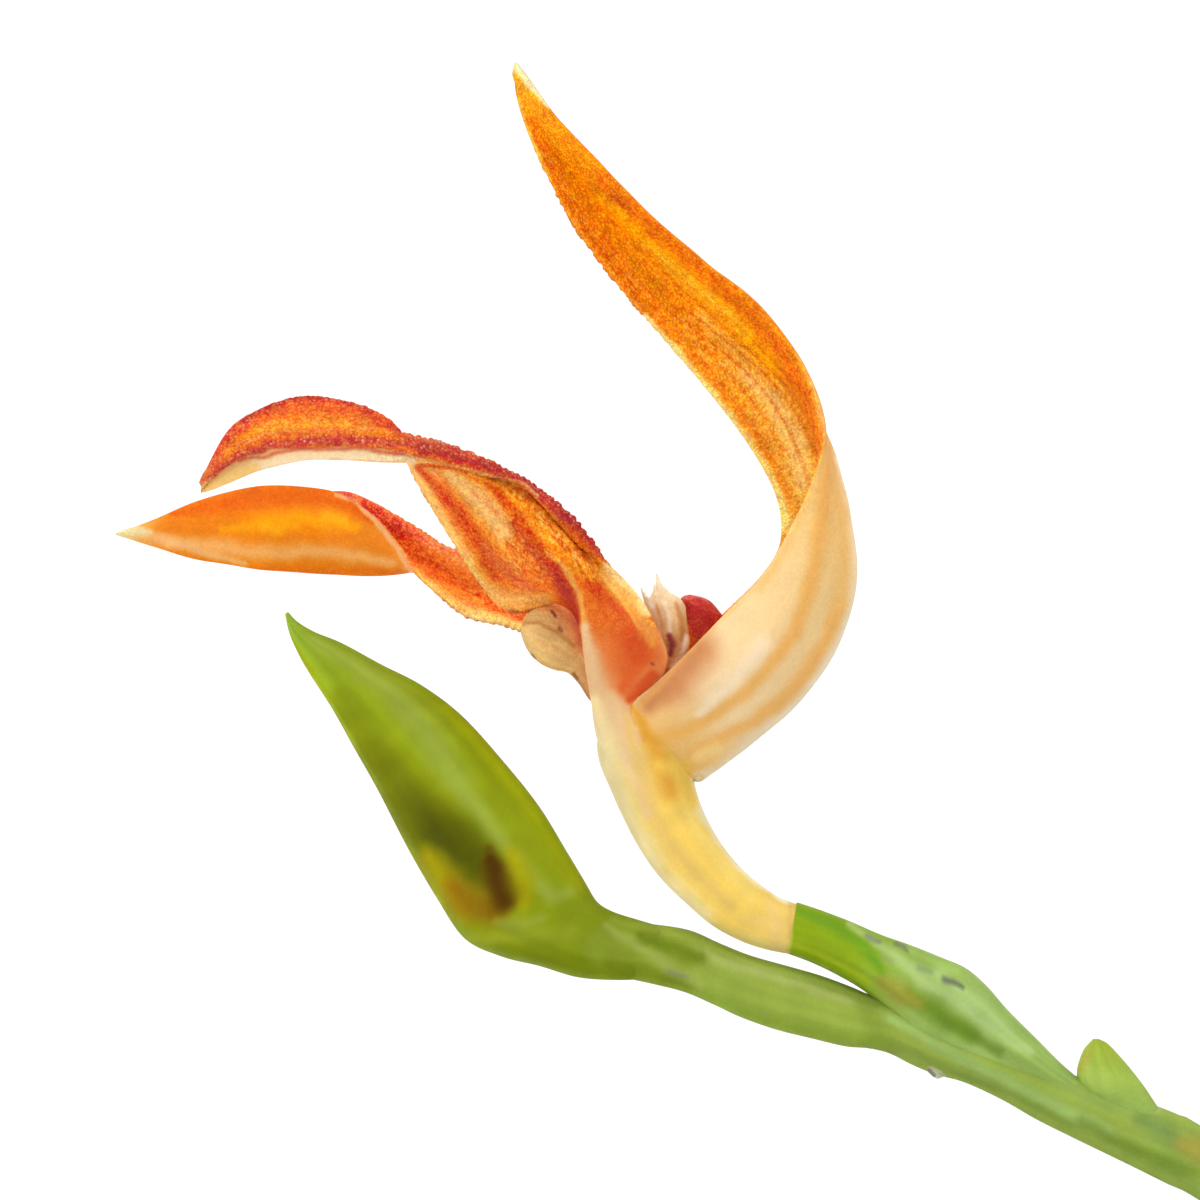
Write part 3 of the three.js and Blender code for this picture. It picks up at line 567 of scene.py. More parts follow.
nearLateral = {
    # rails: upper edge, top of its curl, keel, between, lower edge
    "rails": [
        [(652, 775, -.85), (644, 740, -1.0), (650, 700, -1.15), (665, 672, -1.3), (667, 652, -1.5),
         (657, 627, -1.75), (642, 600, -1.9), (624, 580, -2.0), (606, 566, -2.08), (580, 546, -2.15),
         (558, 523, -2.2), (520, 485, -2.45), (480, 475, -2.8), (440, 464, -3.0), (405, 454, -3.2),
         (375, 449, -3.3), (340, 447, -3.35), (300, 449, -3.35), (262, 452, -3.25), (232, 465, -3.1),
         (212, 480, -2.85), (203, 490, -2.65)],
        [(634, 775, -.8), (630, 740, -1.0), (629, 705, -1.14), (636, 680, -1.35), (642, 656, -1.65),
         (635, 627, -1.95), (619, 603, -2.0), (603, 583, -1.98), (593, 564, -1.95), (581, 543, -1.9),
         (560, 518, -1.95), (519, 487, -2.15), (479, 466, -2.5), (438, 450, -2.7), (409, 443, -2.9),
         (375, 438, -3.05), (340, 437, -3.1), (300, 438, -3.1), (262, 443, -3.0), (232, 455, -2.9),
         (212, 472, -2.8), (203, 488, -2.62)],
        [(613, 772, -.4), (603, 739, -.62), (595, 705, -1.05), (591, 680, -1.4), (588, 655, -1.8),
         (585, 625, -2.15), (583, 600, -2.4), (576, 583, -2.48), (561, 564, -2.5), (543, 547, -2.5),
         (519, 517, -2.5), (490, 488, -2.5), (458, 472, -2.5), (425, 465, -2.5), (398, 463, -2.5),
         (370, 462, -2.5), (338, 460, -2.5), (300, 461, -2.5), (262, 470, -2.5), (232, 482, -2.55),
         (212, 490, -2.6), (201, 493, -2.6)],
        [(608, 770, -.05), (598, 737, -.25), (592, 703, -.7), (589, 680, -.95), (586, 655, -1.2),
         (582, 628, -1.35), (574, 608, -1.4), (560, 596, -1.4), (543, 586, -1.4), (525, 578, -1.3),
         (500, 550, -1.4), (472, 520, -1.5), (447, 495, -1.6), (420, 470, -1.7), (398, 448, -1.8),
         (370, 436, -1.8), (335, 430, -1.9), (298, 430, -1.9), (262, 440, -2.0), (230, 458, -2.2),
         (210, 476, -2.4), (202, 490, -2.55)],
        [(607, 765, .15), (596, 735, 0), (591, 701, -.35), (588, 680, -.55), (585, 658, -.65),
         (580, 632, -.65), (572, 613, -.55), (556, 604, -.4), (540, 608, -.25), (522, 613, -.1),
         (500, 607, -.05), (478, 580, -.3), (455, 545, -.4), (435, 512, -.6), (414, 476, -.8),
         (400, 433, -1.0), (372, 411, -1.2), (335, 400, -1.3), (298, 398, -1.4), (262, 409, -1.6),
         (228, 431, -1.9), (199, 482, -2.5)],
    ],
    "rows": 600, "columns": 82, "turned": -1, "lit": (1.18, 1.06), "thickness": 0.28, "edgeShare": 0.25,
    "insideStops": [(0, (214, 90, 50)), (0.5, (230, 104, 34)), (0.65, (238, 116, 40)), (0.9, (238, 112, 40)),
                    (1, (226, 110, 60))],
    "outsideStops": [(0, (240, 206, 150)), (0.09, (238, 196, 146)), (0.14, (232, 150, 96)),
                     (0.19, (226, 112, 56)),
                     (0.3, (234, 112, 24)), (0.45, (240, 134, 26)), (0.56, (244, 150, 46)),
                     (0.64, (244, 200, 130)), (0.9, (244, 206, 140)), (1, (230, 160, 90))],
    "insideGrain": 0.9, "outsideGrain": (0.1, 0.85, 0.85, 0.2),
    "papillae": [(0.2, 0.17, 0.3, 0.97, 0.05), (1.0, 0.05, 0.3, 0.97, 0.035)],
    "veinFace": "outside", "veinColour": (200, 58, 10),
    "veins": [(0.3, 0.02, 0.2, 0.5, 0.4), (0.38, 0.02, 0.22, 0.5, 0.5), (0.6, 0.02, 0.25, 0.55, 0.3)],
    "strokes": [
        ("outside", (222, 88, 40), 0.85,
         [(622, 692, 16), (636, 655, 26), (630, 620, 24), (608, 592, 20), (590, 572, 12)]),
        ("outside", (234, 130, 66), 0.6, [(604, 640, 12), (608, 665, 12), (612, 690, 10)]),
        ("outside", (216, 74, 34), 0.8, [(630, 640, 16), (640, 655, 16)]),
        ("outside", (214, 70, 32), 0.9, 0.9, [(628, 700, 6), (640, 688, 12), (654, 676, 9)]),
        ("outside", (212, 66, 20), 0.75, [(590, 584, 12), (604, 596, 12)]),
        ("outside", (236, 138, 84), 0.6, [(656, 632, 8), (663, 650, 9), (664, 662, 6)]),
        ("outside", (150, 50, 60), 0.8, 0.8, [(652, 663, 2.5), (654, 665, 2)]),
        ("outside", (250, 154, 8), 1.0, 0.8,
         [(500, 480, 8), (522, 498, 14), (541, 520, 14), (556, 540, 15), (574, 561, 15), (594, 576, 9)]),
        ("outside", (248, 202, 124), 0.95, 0.9,
         [(448, 474, 7), (468, 490, 14), (489, 510, 20), (502, 530, 17), (508, 546, 9)]),
        ("outside", (236, 112, 8), 0.95, [(508, 544, 10), (526, 560, 18), (544, 584, 16)]),
        ("outside", (214, 76, 8), 0.95, 0.9,
         [(418, 466, 5), (438, 488, 12), (459, 514, 13), (477, 542, 13), (496, 572, 12)]),
        ("outside", (226, 108, 48), 0.9, [(484, 548, 8), (504, 568, 15), (530, 588, 12)]),
        ("outside", (248, 204, 116), 0.97, 0.8,
         [(404, 460, 4), (418, 484, 9), (438, 516, 12), (458, 550, 12), (478, 583, 13), (496, 604, 13)]),
        ("outside", (246, 190, 104), 0.9, [(486, 594, 14), (512, 602, 20), (546, 600, 14)]),
        ("outside", (216, 84, 4), 0.95, 0.8,
         [(420, 464, 3), (455, 468, 4), (484, 479, 7), (503, 499, 8), (520, 521, 8), (540, 548, 8),
          (553, 566, 8)]),
        ("outside", (202, 58, 22), 0.8, 0.9, [(514, 524, 5), (532, 548, 7), (548, 570, 9)]),
        ("outside", (150, 90, 50), 0.7, 0.7,
         [(508, 612, 1.6), (522, 613, 1.6), (536, 609, 1.6), (548, 605, 1.6)]),
        ("outside", (186, 36, 26), 0.95, 0.9, [(554, 568, 7), (561, 584, 13), (570, 602, 13), (577, 622, 8)]),
        ("outside", (232, 160, 70), 1.0, 0.8,
         [(544, 549, 2), (558, 562, 3.5), (571, 577, 5), (579, 594, 5), (583, 612, 5), (585, 632, 5)]),
        ("outside", (232, 194, 146), 1.0,
         [(602, 742, 26), (598, 705, 27), (593, 675, 24), (588, 650, 18), (585, 628, 9)]),
        ("outside", (238, 160, 54), 0.9,
         [(594, 572, 8), (612, 586, 16), (630, 602, 17), (644, 622, 13), (654, 642, 8)]),
        ("outside", (214, 88, 40), 0.6, [(612, 600, 4), (628, 618, 4), (642, 640, 4)]),
        ("outside", (244, 190, 96), 0.6, [(604, 580, 3), (618, 594, 4), (630, 612, 4), (640, 628, 3)]),
        ("both", (246, 202, 118), 0.9, [(606, 572, 10), (622, 584, 17), (636, 597, 16), (646, 612, 9)]),
        ("outside", (236, 148, 80), 0.7, [(642, 622, 10), (652, 636, 10)]),
        ("both", (251, 222, 154), 1.0, 0.8, [(604, 566, 6), (625, 580, 9), (641, 597, 9), (650, 613, 6)]),
        ("both", (232, 156, 92), 0.85, [(658, 624, 6), (664, 640, 6), (668, 658, 5)]),
        ("outside", (252, 236, 192), 1.0, 0.8,
         [(410, 460, 7), (370, 457, 10), (330, 456, 10), (290, 459, 10), (256, 468, 9)]),
        ("outside", (250, 214, 130), 0.9, 0.9, [(256, 468, 8), (232, 478, 10), (208, 490, 9)]),
        ("outside", (240, 190, 100), 0.6, 0.9, [(400, 462, 3), (330, 461, 2.5), (270, 468, 3)]),
        ("both", (222, 112, 84), 0.9, 0.9, [(420, 457, 3), (370, 448, 3.5), (300, 449, 3.5), (240, 461, 3)]),
        ("both", (212, 84, 56), 1.0, 0.6,
         [(601, 552, 9), (577, 522, 14), (551, 496, 16), (523, 476, 16), (483, 457, 15), (440, 446, 13),
          (410, 443, 9), (375, 440, 6), (320, 440, 6), (270, 445, 6), (232, 458, 5), (208, 480, 4)]),
        ("both", (200, 42, 40), 0.7,
         [(420, 452, 5), (450, 456, 8), (490, 468, 9), (528, 484, 9), (560, 506, 9), (590, 540, 7)]),
        ("both", (176, 22, 38), 0.6, [(560, 500, 6), (580, 520, 8), (596, 542, 6)]),
        ("both", (226, 96, 16), 0.85, [(562, 522, 5), (580, 543, 9), (596, 562, 9)]),
        ("both", (236, 150, 34), 0.85, [(584, 552, 4), (600, 566, 9)]),
        ("both", (232, 150, 104), 0.6, [(425, 438, 5), (455, 444, 6), (490, 456, 5), (520, 472, 4)]),
        ("both", (238, 178, 108), 0.9, 0.9,
         [(405, 456, 2.5), (440, 463, 2.5), (470, 471, 3), (506, 480, 3), (524, 485, 3), (538, 495, 2.5)]),
        # painted light: brightens the shade in the fold under the rim
        ("outside", (255, 160, 44), 0.95, 0.9,
         [(470, 475, 3), (486, 480, 5), (512, 487, 7), (533, 503, 8), (554, 530, 8), (576, 553, 8),
          (596, 568, 5)]),
        ("inside", (248, 142, 28), 0.95,
         [(225, 452, 7), (250, 434, 11), (292, 422, 14), (337, 424, 14), (375, 430, 9), (400, 438, 5)]),
        ("inside", (255, 176, 44), 0.6, [(255, 430, 6), (300, 424, 8), (345, 424, 7)]),
        ("both", (226, 84, 44), 0.85,
         [(404, 434, 8), (372, 413, 9), (335, 402, 9), (298, 400, 9), (262, 411, 9), (230, 433, 9),
          (208, 464, 7)]),
        ("both", (240, 192, 110), 0.9, [(200, 490, 10), (212, 480, 5)]),
        ("both", (200, 60, 50), 0.6, 0.9,
         [(372, 411, 4), (335, 399, 4), (298, 397, 4), (262, 408, 4), (230, 430, 4)]),
    ] + [("outside", *stroke) for stroke in cupStrokes],
    # places whose cell tips catch the light
    "glints": [
        (0.5, 1.0,
         [(577, 522, 8), (551, 494, 12), (523, 474, 13), (483, 455, 13), (440, 444, 11), (410, 442, 9),
          (375, 440, 7), (320, 439, 7), (270, 444, 5), (232, 457, 4)]),
        (0.3, 1.0, [(372, 412, 6), (335, 401, 6), (298, 399, 6), (262, 410, 6), (225, 440, 6)]),
    ],
    # where the thin skin shows its golden web
    "webs": [
        (1.0, 0.8,
         [(504, 484, 7), (520, 496, 11), (540, 518, 15), (560, 542, 16), (580, 562, 13), (592, 574, 9)]),
        (0.85, 0.8, [(448, 474, 7), (468, 490, 14), (488, 512, 19), (506, 540, 20), (520, 566, 14)]),
        (0.6, 0.9, [(516, 540, 10), (530, 560, 15), (544, 580, 12)]),
        (0.8, 0.9,
         [(406, 462, 4), (420, 484, 10), (440, 516, 13), (460, 550, 13), (480, 583, 13), (500, 604, 12)]),
        (0.6, 1.0, [(490, 598, 12), (520, 600, 14), (548, 598, 10)]),
        (0.9, 1.0, [(606, 570, 10), (625, 584, 18), (642, 600, 17), (654, 622, 10)]),
        (0.5, 1.0, [(240, 448, 8), (262, 430, 12), (300, 420, 14), (340, 422, 12), (370, 428, 8)]),
    ],
}

farLateral = {
    # rails: near edge, between, keel, between, far edge
    "rails": [
        [(601, 722, .2), (588, 690, 1.0), (565, 650, 1.35), (535, 637, 1.5), (506, 626, 1.6),
         (466, 617, 1.7), (436, 594, 1.8), (412, 571, 1.95), (399, 550, 2.15), (378, 521, 2.4),
         (350, 500, 2.7), (322, 489, 3.0), (260, 486, 3.05), (200, 500, 3.1), (155, 519, 3.25),
         (118, 533, 3.4)],
        [(604, 732, .45), (592, 690, 1.35), (572, 648, 1.8), (540, 630, 2.05), (508, 616, 2.2),
         (468, 604, 2.3), (437, 585, 2.35), (413, 571, 2.3), (401, 562, 2.35), (380, 547, 2.5),
         (349, 534, 2.65), (321, 525, 2.75), (260, 522, 2.75), (200, 522, 2.95), (155, 528, 3.15),
         (117, 533.5, 3.38)],
        [(607, 745, .6), (598, 690, 1.7), (582, 645, 2.3), (548, 621, 2.6), (511, 603, 2.7),
         (471, 587, 2.8), (438, 573, 2.85), (416, 571, 2.85), (401, 574, 2.85), (382, 576, 2.9),
         (352, 576, 3.0), (320, 574, 3.1), (260, 569, 3.15), (200, 560, 3.25), (155, 547, 3.35),
         (116, 535, 3.42)],
        [(625, 745, .8), (625, 680, 1.85), (605, 632, 2.25), (560, 605, 2.4), (517, 588, 2.5),
         (475, 570, 2.6), (440, 556, 2.75), (415, 548, 2.9), (400, 545, 3.05), (380, 540, 3.2),
         (350, 540, 3.4), (320, 545, 3.5), (260, 540, 3.55), (200, 538, 3.5), (155, 536, 3.5),
         (116, 534, 3.46)],
        [(642, 742, .85), (652, 672, 1.75), (624, 620, 1.95), (565, 590, 2.0), (521, 577, 2.05),
         (479, 556, 2.2), (441, 544, 2.4), (413, 526, 2.7), (397, 516, 2.9), (377, 504, 3.1),
         (349, 492, 3.4), (322, 492, 3.65), (260, 493, 3.8), (200, 506, 3.7), (155, 521, 3.6),
         (116, 533, 3.48)],
    ],
    "rows": 560, "columns": 72, "turned": -1, "lit": (0.8, 1.17), "thickness": 0.28, "edgeShare": 0.25,
    "insideStops": [(0, (222, 110, 70)), (0.3, (224, 100, 44)), (0.55, (222, 92, 40)), (0.7, (216, 84, 46)),
                    (1, (230, 130, 60))],
    "outsideStops": [(0, (243, 208, 140)), (0.3, (240, 190, 140)), (0.55, (238, 140, 34)),
                     (0.75, (240, 132, 10)), (0.92, (234, 132, 24)), (1, (240, 210, 140))],
    "insideGrain": 0.95, "outsideGrain": (0.3, 0.22, 0.22, 0.22),
    "papillae": [(0.0, 0.06, 0.25, 0.5, 0.04), (1.0, 0.14, 0.25, 0.6, 0.06)],
    "veinFace": "inside", "veinColour": (196, 60, 16),
    "veins": [(0.3, 0.02, 0.2, 0.6, 0.3), (0.5, 0.02, 0.2, 0.9, 0.25), (0.7, 0.02, 0.2, 0.6, 0.3)],
    "strokes": [
        ("outside", (226, 98, 0), 0.95, 0.9,
         [(172, 514, 5), (205, 508, 14), (260, 496, 20), (322, 494, 17), (352, 506, 11), (372, 522, 6)]),
        ("outside", (252, 168, 6), 0.95, 0.9,
         [(222, 530, 6), (250, 525, 12), (290, 521, 17), (335, 522, 16), (356, 528, 9)]),
        ("outside", (246, 140, 0), 0.6, [(238, 520, 6), (252, 517, 7)]),
        ("outside", (242, 130, 0), 0.6, [(304, 526, 7), (316, 530, 7)]),
        ("outside", (238, 136, 24), 0.8, [(362, 536, 10), (378, 548, 11), (392, 560, 8)]),
        ("outside", (255, 184, 20), 0.7, [(264, 528, 9), (278, 530, 9)]),
        ("outside", (255, 184, 20), 0.7, [(326, 518, 9), (344, 522, 8)]),
        ("outside", (240, 154, 58), 0.95,
         [(150, 538, 9), (200, 544, 14), (250, 548, 15), (300, 548, 14), (345, 551, 12), (385, 558, 8)]),
        ("outside", (246, 186, 108), 0.85,
         [(165, 540, 10), (216, 547, 14), (262, 554, 13), (312, 552, 11), (352, 556, 10), (392, 562, 10)]),
        ("outside", (238, 118, 6), 0.9,
         [(262, 569, 4), (300, 571, 7), (350, 571, 8), (385, 572, 7), (400, 573, 5)]),
        ("outside", (240, 190, 124), 0.85, [(136, 533, 10), (160, 539, 11), (200, 552, 8), (245, 564, 5)]),
        ("both", (234, 222, 170), 0.95, [(110, 534, 14), (132, 531, 12), (150, 532, 6)]),
        ("both", (240, 186, 128), 0.9, 0.7,
         [(336, 494, 3), (358, 504, 4), (377, 521, 4.5), (399, 551, 4.5), (411, 571, 4)]),
        ("inside", (236, 146, 58), 0.9, [(404, 545, 14), (438, 562, 24), (474, 582, 26), (510, 604, 22)]),
        ("inside", (220, 96, 28), 0.85,
         [(384, 524, 9), (410, 548, 11), (440, 574, 10), (474, 596, 9), (504, 610, 7)]),
        ("inside", (238, 172, 92), 0.85, [(424, 543, 7), (455, 556, 10), (490, 578, 11), (520, 602, 9)]),
        ("inside", (236, 160, 56), 0.7, [(404, 560, 5), (428, 578, 8), (452, 592, 9), (480, 604, 7)]),
        ("inside", (249, 206, 116), 0.97, 0.8,
         [(406, 569, 6), (430, 590, 12), (450, 605, 14), (475, 616, 13), (500, 622, 10), (520, 627, 9)]),
        ("inside", (250, 222, 160), 0.7, 0.9, [(456, 611, 5), (480, 620, 5), (505, 626, 4)]),
        ("inside", (222, 96, 66), 0.9, 0.9,
         [(335, 489, 5), (358, 498, 9), (382, 514, 12), (404, 530, 10), (441, 546, 7), (480, 558, 6)]),
        ("inside", (214, 66, 40), 0.7, [(365, 504, 6), (385, 520, 9), (402, 538, 7)]),
        ("both", (150, 80, 40), 0.5, 0.8, [(458, 619, 1.5), (480, 625, 1.5), (505, 628, 1.5)]),
    ],
    "glints": [(0.3, 1.0, [(350, 498, 8), (382, 515, 12), (404, 530, 12), (441, 547, 10), (480, 558, 10)])],
    "webs": [
        (0.8, 0.9, [(408, 569, 6), (430, 588, 12), (450, 602, 15), (475, 613, 14), (505, 622, 11)]),
        (0.4, 1.0, [(420, 560, 14), (460, 585, 20), (500, 606, 16)]),
    ],
}


# how every sepal is made: its thinning, its cells and what runs over its skin
sepalForm = {
    "baseFade": 0.08, "tipFade": 0.012, "bodyPower": 0.55, "tipThinning": 0.45,
    "cellSize": 0.105, "cellRise": 0.01, "rippleSize": 0.9, "ripple": 0.025,
    "veinWander": 0.02, "veinFade": 0.08, "blotchSize": 0.35, "blotches": 0.08, "streaks": 0.07,
    "grainPlaces": (0.18, 0.36, 0.66, 0.74),      # where along it the four outside grains stand
}


def shares(rows, columns):
    # along a sheet, and across it
    return np.linspace(0, 1, rows)[:, None], np.linspace(0, 1, columns)[None, :]


def sheetThrough(rails, rows, columns):
    lines = np.stack([traced(rail) for rail in rails], 1)
    lines = splineAt(lines, evenPlaces(lines.mean(1), rows))
    return splineAt(lines.transpose(1, 0, 2), np.linspace(0, len(rails) - 1, columns)).transpose(1, 0, 2)


def faceOf(sheet):
    # the direction that each place of a sheet faces
    return unit(np.cross(np.gradient(sheet, axis=0), np.gradient(sheet, axis=1)))


def bothFaces(upper, lower):
    # a sheet's upper face, then its lower one back again, closed on the first column
    return np.concatenate([upper, lower[:, ::-1], upper[:, :1]], 1)


def between(value, low, high, fade=0.05):
    return np.clip((value - low) / fade, 0, 1) * np.clip((high - value) / fade, 0, 1)


def buildSepal(name, node, sepal):
    rows, columns = sepal["rows"], sepal["columns"]
    sheet = sheetThrough(sepal["rails"], rows, columns)
    inward = faceOf(sheet) * sepal["turned"]
    share, across = shares(rows, columns)
    base, tip = share / sepalForm["baseFade"], (1 - share) / sepalForm["tipFade"]
    ends = np.clip(np.minimum(base, tip), 0, 1) ** 0.5
    body = np.sin(np.pi * across) ** sepalForm["bodyPower"]
    wall = sepal["thickness"] * (sepal["edgeShare"] + (1 - sepal["edgeShare"]) * body) * ends
    wall = wall * (1 - sepalForm["tipThinning"] * share)
    cells = domes(sheet, sepalForm["cellSize"])
    rough = sum(height * np.exp(-((across - place) / reach) ** 2) * between(share, start, end)
                for place, reach, start, end, height in sepal["papillae"])
    ripple = wobble(sheet, sepalForm["rippleSize"], 4) * sepalForm["ripple"]
    ripple = ripple * between(share, 0.2, 1, 0.2) * ends
    sheet = sheet + inward * ripple[..., None]
    upper = sheet + inward * (wall + cells * (rough + sepalForm["cellRise"] * ends))[..., None]
    lower = sheet - inward * (cells * rough)[..., None]
    points = bothFaces(upper, lower)

    def carried(values):
        # a value over the sheet, carried round both faces
        values = np.broadcast_to(values, (rows, columns))
        return bothFaces(values, values)

    def drawnOut(wide, long, seed):
        # noise with that many waves across and along
        return carried(wobble(np.stack(np.broadcast_arrays(across * wide, share * long), -1), 1, seed))

    inside = bothFaces(np.ones((rows, columns)), np.zeros((rows, columns)))
    faces = {"inside": inside, "outside": 1 - inside}
    along, crossed = carried(share), carried(across) + drawnOut(3, 12, 6) * sepalForm["veinWander"]
    tint = np.where(inside[..., None] > 0.5, blend(sepal["insideStops"], along),
                    blend(sepal["outsideStops"], along))
    seen = warped(seenAt(points))
    tint = paint(tint, seen, sepal["strokes"], faces)
    for place, width, start, end, strength in sepal["veins"]:
        vein = np.exp(-((crossed - place) / width) ** 2) * between(along, start, end, sepalForm["veinFade"])
        vein = vein * strength * faces[sepal["veinFace"]]
        tint += (rgb(*sepal["veinColour"]) - tint) * vein[..., None]
    outsideGrain = np.interp(along, sepalForm["grainPlaces"], sepal["outsideGrain"])
    grain = inside * sepal["insideGrain"] + (1 - inside) * outsideGrain
    mottle = drawnOut(26, 14, 2) * sepalForm["streaks"]
    mottle = mottle + carried(wobble(sheet, sepalForm["blotchSize"], 8)) * sepalForm["blotches"]
    tint = tint * (1 + mottle * grain)[..., None]
    values = {"grain": grain}
    for label in ("glint", "web"):
        values[label] = np.zeros(along.shape)
        for strength, softness, line in sepal[label + "s"]:
            values[label] = np.maximum(values[label], strokeShare(seen, line, softness) * strength)
    lit = inside * sepal["lit"][0] + (1 - inside) * sepal["lit"][1]
    carry(livingPiece(name, points, values, tint, lit[..., None], sepalLook), node)


buildSepal("dorsalSepal", "dorsal_sepal", dorsalSepal)
buildSepal("nearLateralSepal", "near_lateral_sepal", nearLateral)
buildSepal("farLateralSepal", "far_lateral_sepal", farLateral)


# stalks, ovary, bud, lip and column: skins through cross-sections

def crossFrames(pairs):
    # each pair: the two outline points in picture pixels, the depth of the middle and half the depth
    made = []
    for firstX, firstY, secondX, secondY, depth, halfDepth in pairs:
        first, second = traced([(firstX, firstY, depth), (secondX, secondY, depth)])
        made.append([(first + second) / 2, (second - first) / 2, [0, halfDepth, 0]])
    return np.array(made)


def lineFrames(line, halfWide, halfDeep):
    # the same from a line in mm and its half widths
    line = np.array(line, float)
    direction = unit(np.gradient(line, axis=0))
    across = unit(np.cross([0, 1, 0], direction))
    lift = np.cross(direction, across)
    return np.stack([line, across * np.array(halfWide)[:, None], lift * np.array(halfDeep)[:, None]], 1)


def capped(points, frames):
    # both ends shut on their middle
    first, last = (np.broadcast_to(frames[i, 0], (1, *points.shape[1:])) for i in (0, -1))
    return np.concatenate([first, points, last])


def withEnds(along, first, last, columns):
    # a value along a skin, for its capped ends too
    return np.concatenate([[first], along, [last]])[:, None] * np.ones((1, columns))


def ringsOf(frames, angle):
    # the rings that each frame's two half widths span
    return (np.cos(angle)[None, :, None] * frames[:, None, 1]
            + np.sin(angle)[None, :, None] * frames[:, None, 2])


def tubePoints(frames, rows, columns, shape=None):
    frames = splineAt(frames, evenPlaces(frames[:, 0], rows))
    angle = np.linspace(0, 2 * np.pi, columns)
    ring = ringsOf(frames, angle)
    if shape:
        ring = ring * shape(np.linspace(0, 1, rows)[:, None], angle[None, :])[..., None]
    return capped(frames[:, None, 0] + ring, frames)


# streaks run along a skin, and blotches lie anywhere on it
tubeForm = {"streaksRound": 4, "streakDepth": 0.07, "blotchSize": 0.5, "blotchDepth": 0.05}


def tubeSkin(name, made, look, frames=None):
    rows, columns = made["rows"], made["columns"]
    frames = crossFrames(made["pairs"]) if frames is None else frames
    points = tubePoints(frames, rows, columns, made.get("shape"))
    share, turn = withEnds(np.linspace(0, 1, rows), 0, 1, columns), np.linspace(0, 2 * np.pi, columns)
    tint = paint(blend(made["stops"], share), warped(seenAt(points)), made["strokes"])
    across, along = tubeForm["streaksRound"], made["streaks"]
    lines = np.broadcast_arrays(np.cos(turn) * across, np.sin(turn) * across, share * along)
    streaks = wobble(np.stack(lines, -1), 1, 5) * made.get("streakDepth", tubeForm["streakDepth"])
    blotches = wobble(points, tubeForm["blotchSize"], 6) * tubeForm["blotchDepth"]
    tint = tint * (1 + streaks + blotches)[..., None]
    return livingPiece(name, points, {"grain": np.full(share.shape, made["grain"])}, tint, look["lit"], look)


ovaryLook = {
    "lit": 1.25, "cells": 16, "contrast": 0.07, "blotches": 0.06, "bump": 0.25, "bumpDepth": 0.02,
    "roughness": (0.4, 0.55), "specular": 0.15, "through": 0.25,
}

ovary = {
    "pairs": [
        (622, 703, 665, 706, 0, .5), (606, 716, 681, 720, 0, .86), (598, 738, 689, 738, 0, 1.0),
        (600, 762, 691, 764, 0, .98), (610, 787, 695, 788, 0, .92), (622, 814, 703, 811, 0, .86),
        (639, 847, 716, 836, 0, .82), (660, 877, 731, 857, 0, .76), (685, 902, 747, 874, 0, .68),
        (712, 925, 763, 887, 0, .62), (739, 940, 778, 897, 0, .57), (765, 949, 790, 902, 0, .53),
        (792, 954, 800, 905, 0, .5), (806, 953, 815, 910, 0, .46),
    ],
    "rows": 220, "columns": 97, "grain": 0.5, "streaks": 3, "streakDepth": 0.03,
    "stops": [(0, (238, 196, 100)), (0.3, (240, 200, 98)), (0.7, (245, 206, 98)), (1, (240, 200, 112))],
    "shape": lambda share, angle: 1 + 0.018 * np.cos(6 * angle + 0.6) * (1 - share * 0.7),
    "strokes": [
        ((244, 212, 116), 0.8, [(684, 800, 10), (700, 835, 12), (726, 868, 13), (752, 895, 12)]),
        ((249, 236, 196), 0.95,
         [(694, 776, 6), (700, 808, 9), (714, 832, 9), (730, 854, 9), (752, 878, 8), (788, 902, 5)]),
        ((226, 206, 130), 0.8, [(700, 920, 9), (735, 938, 10), (770, 946, 10), (800, 950, 8)]),
        ((243, 206, 120), 0.6, [(745, 918, 8), (775, 926, 9)]),
        ((214, 176, 96), 0.5, [(789, 900, 4), (790, 928, 4), (788, 954, 4)]),
        ((238, 202, 132), 0.6, [(770, 905, 10), (778, 925, 14), (774, 945, 9)]),
    ] + cupStrokes,
}

stalkLook = {
    "lit": 1.3, "cells": 9, "contrast": 0.07, "blotches": 0.16, "bump": 0.35, "bumpDepth": 0.03,
    "roughness": (0.42, 0.6), "specular": 0.1, "through": 0.15,
}

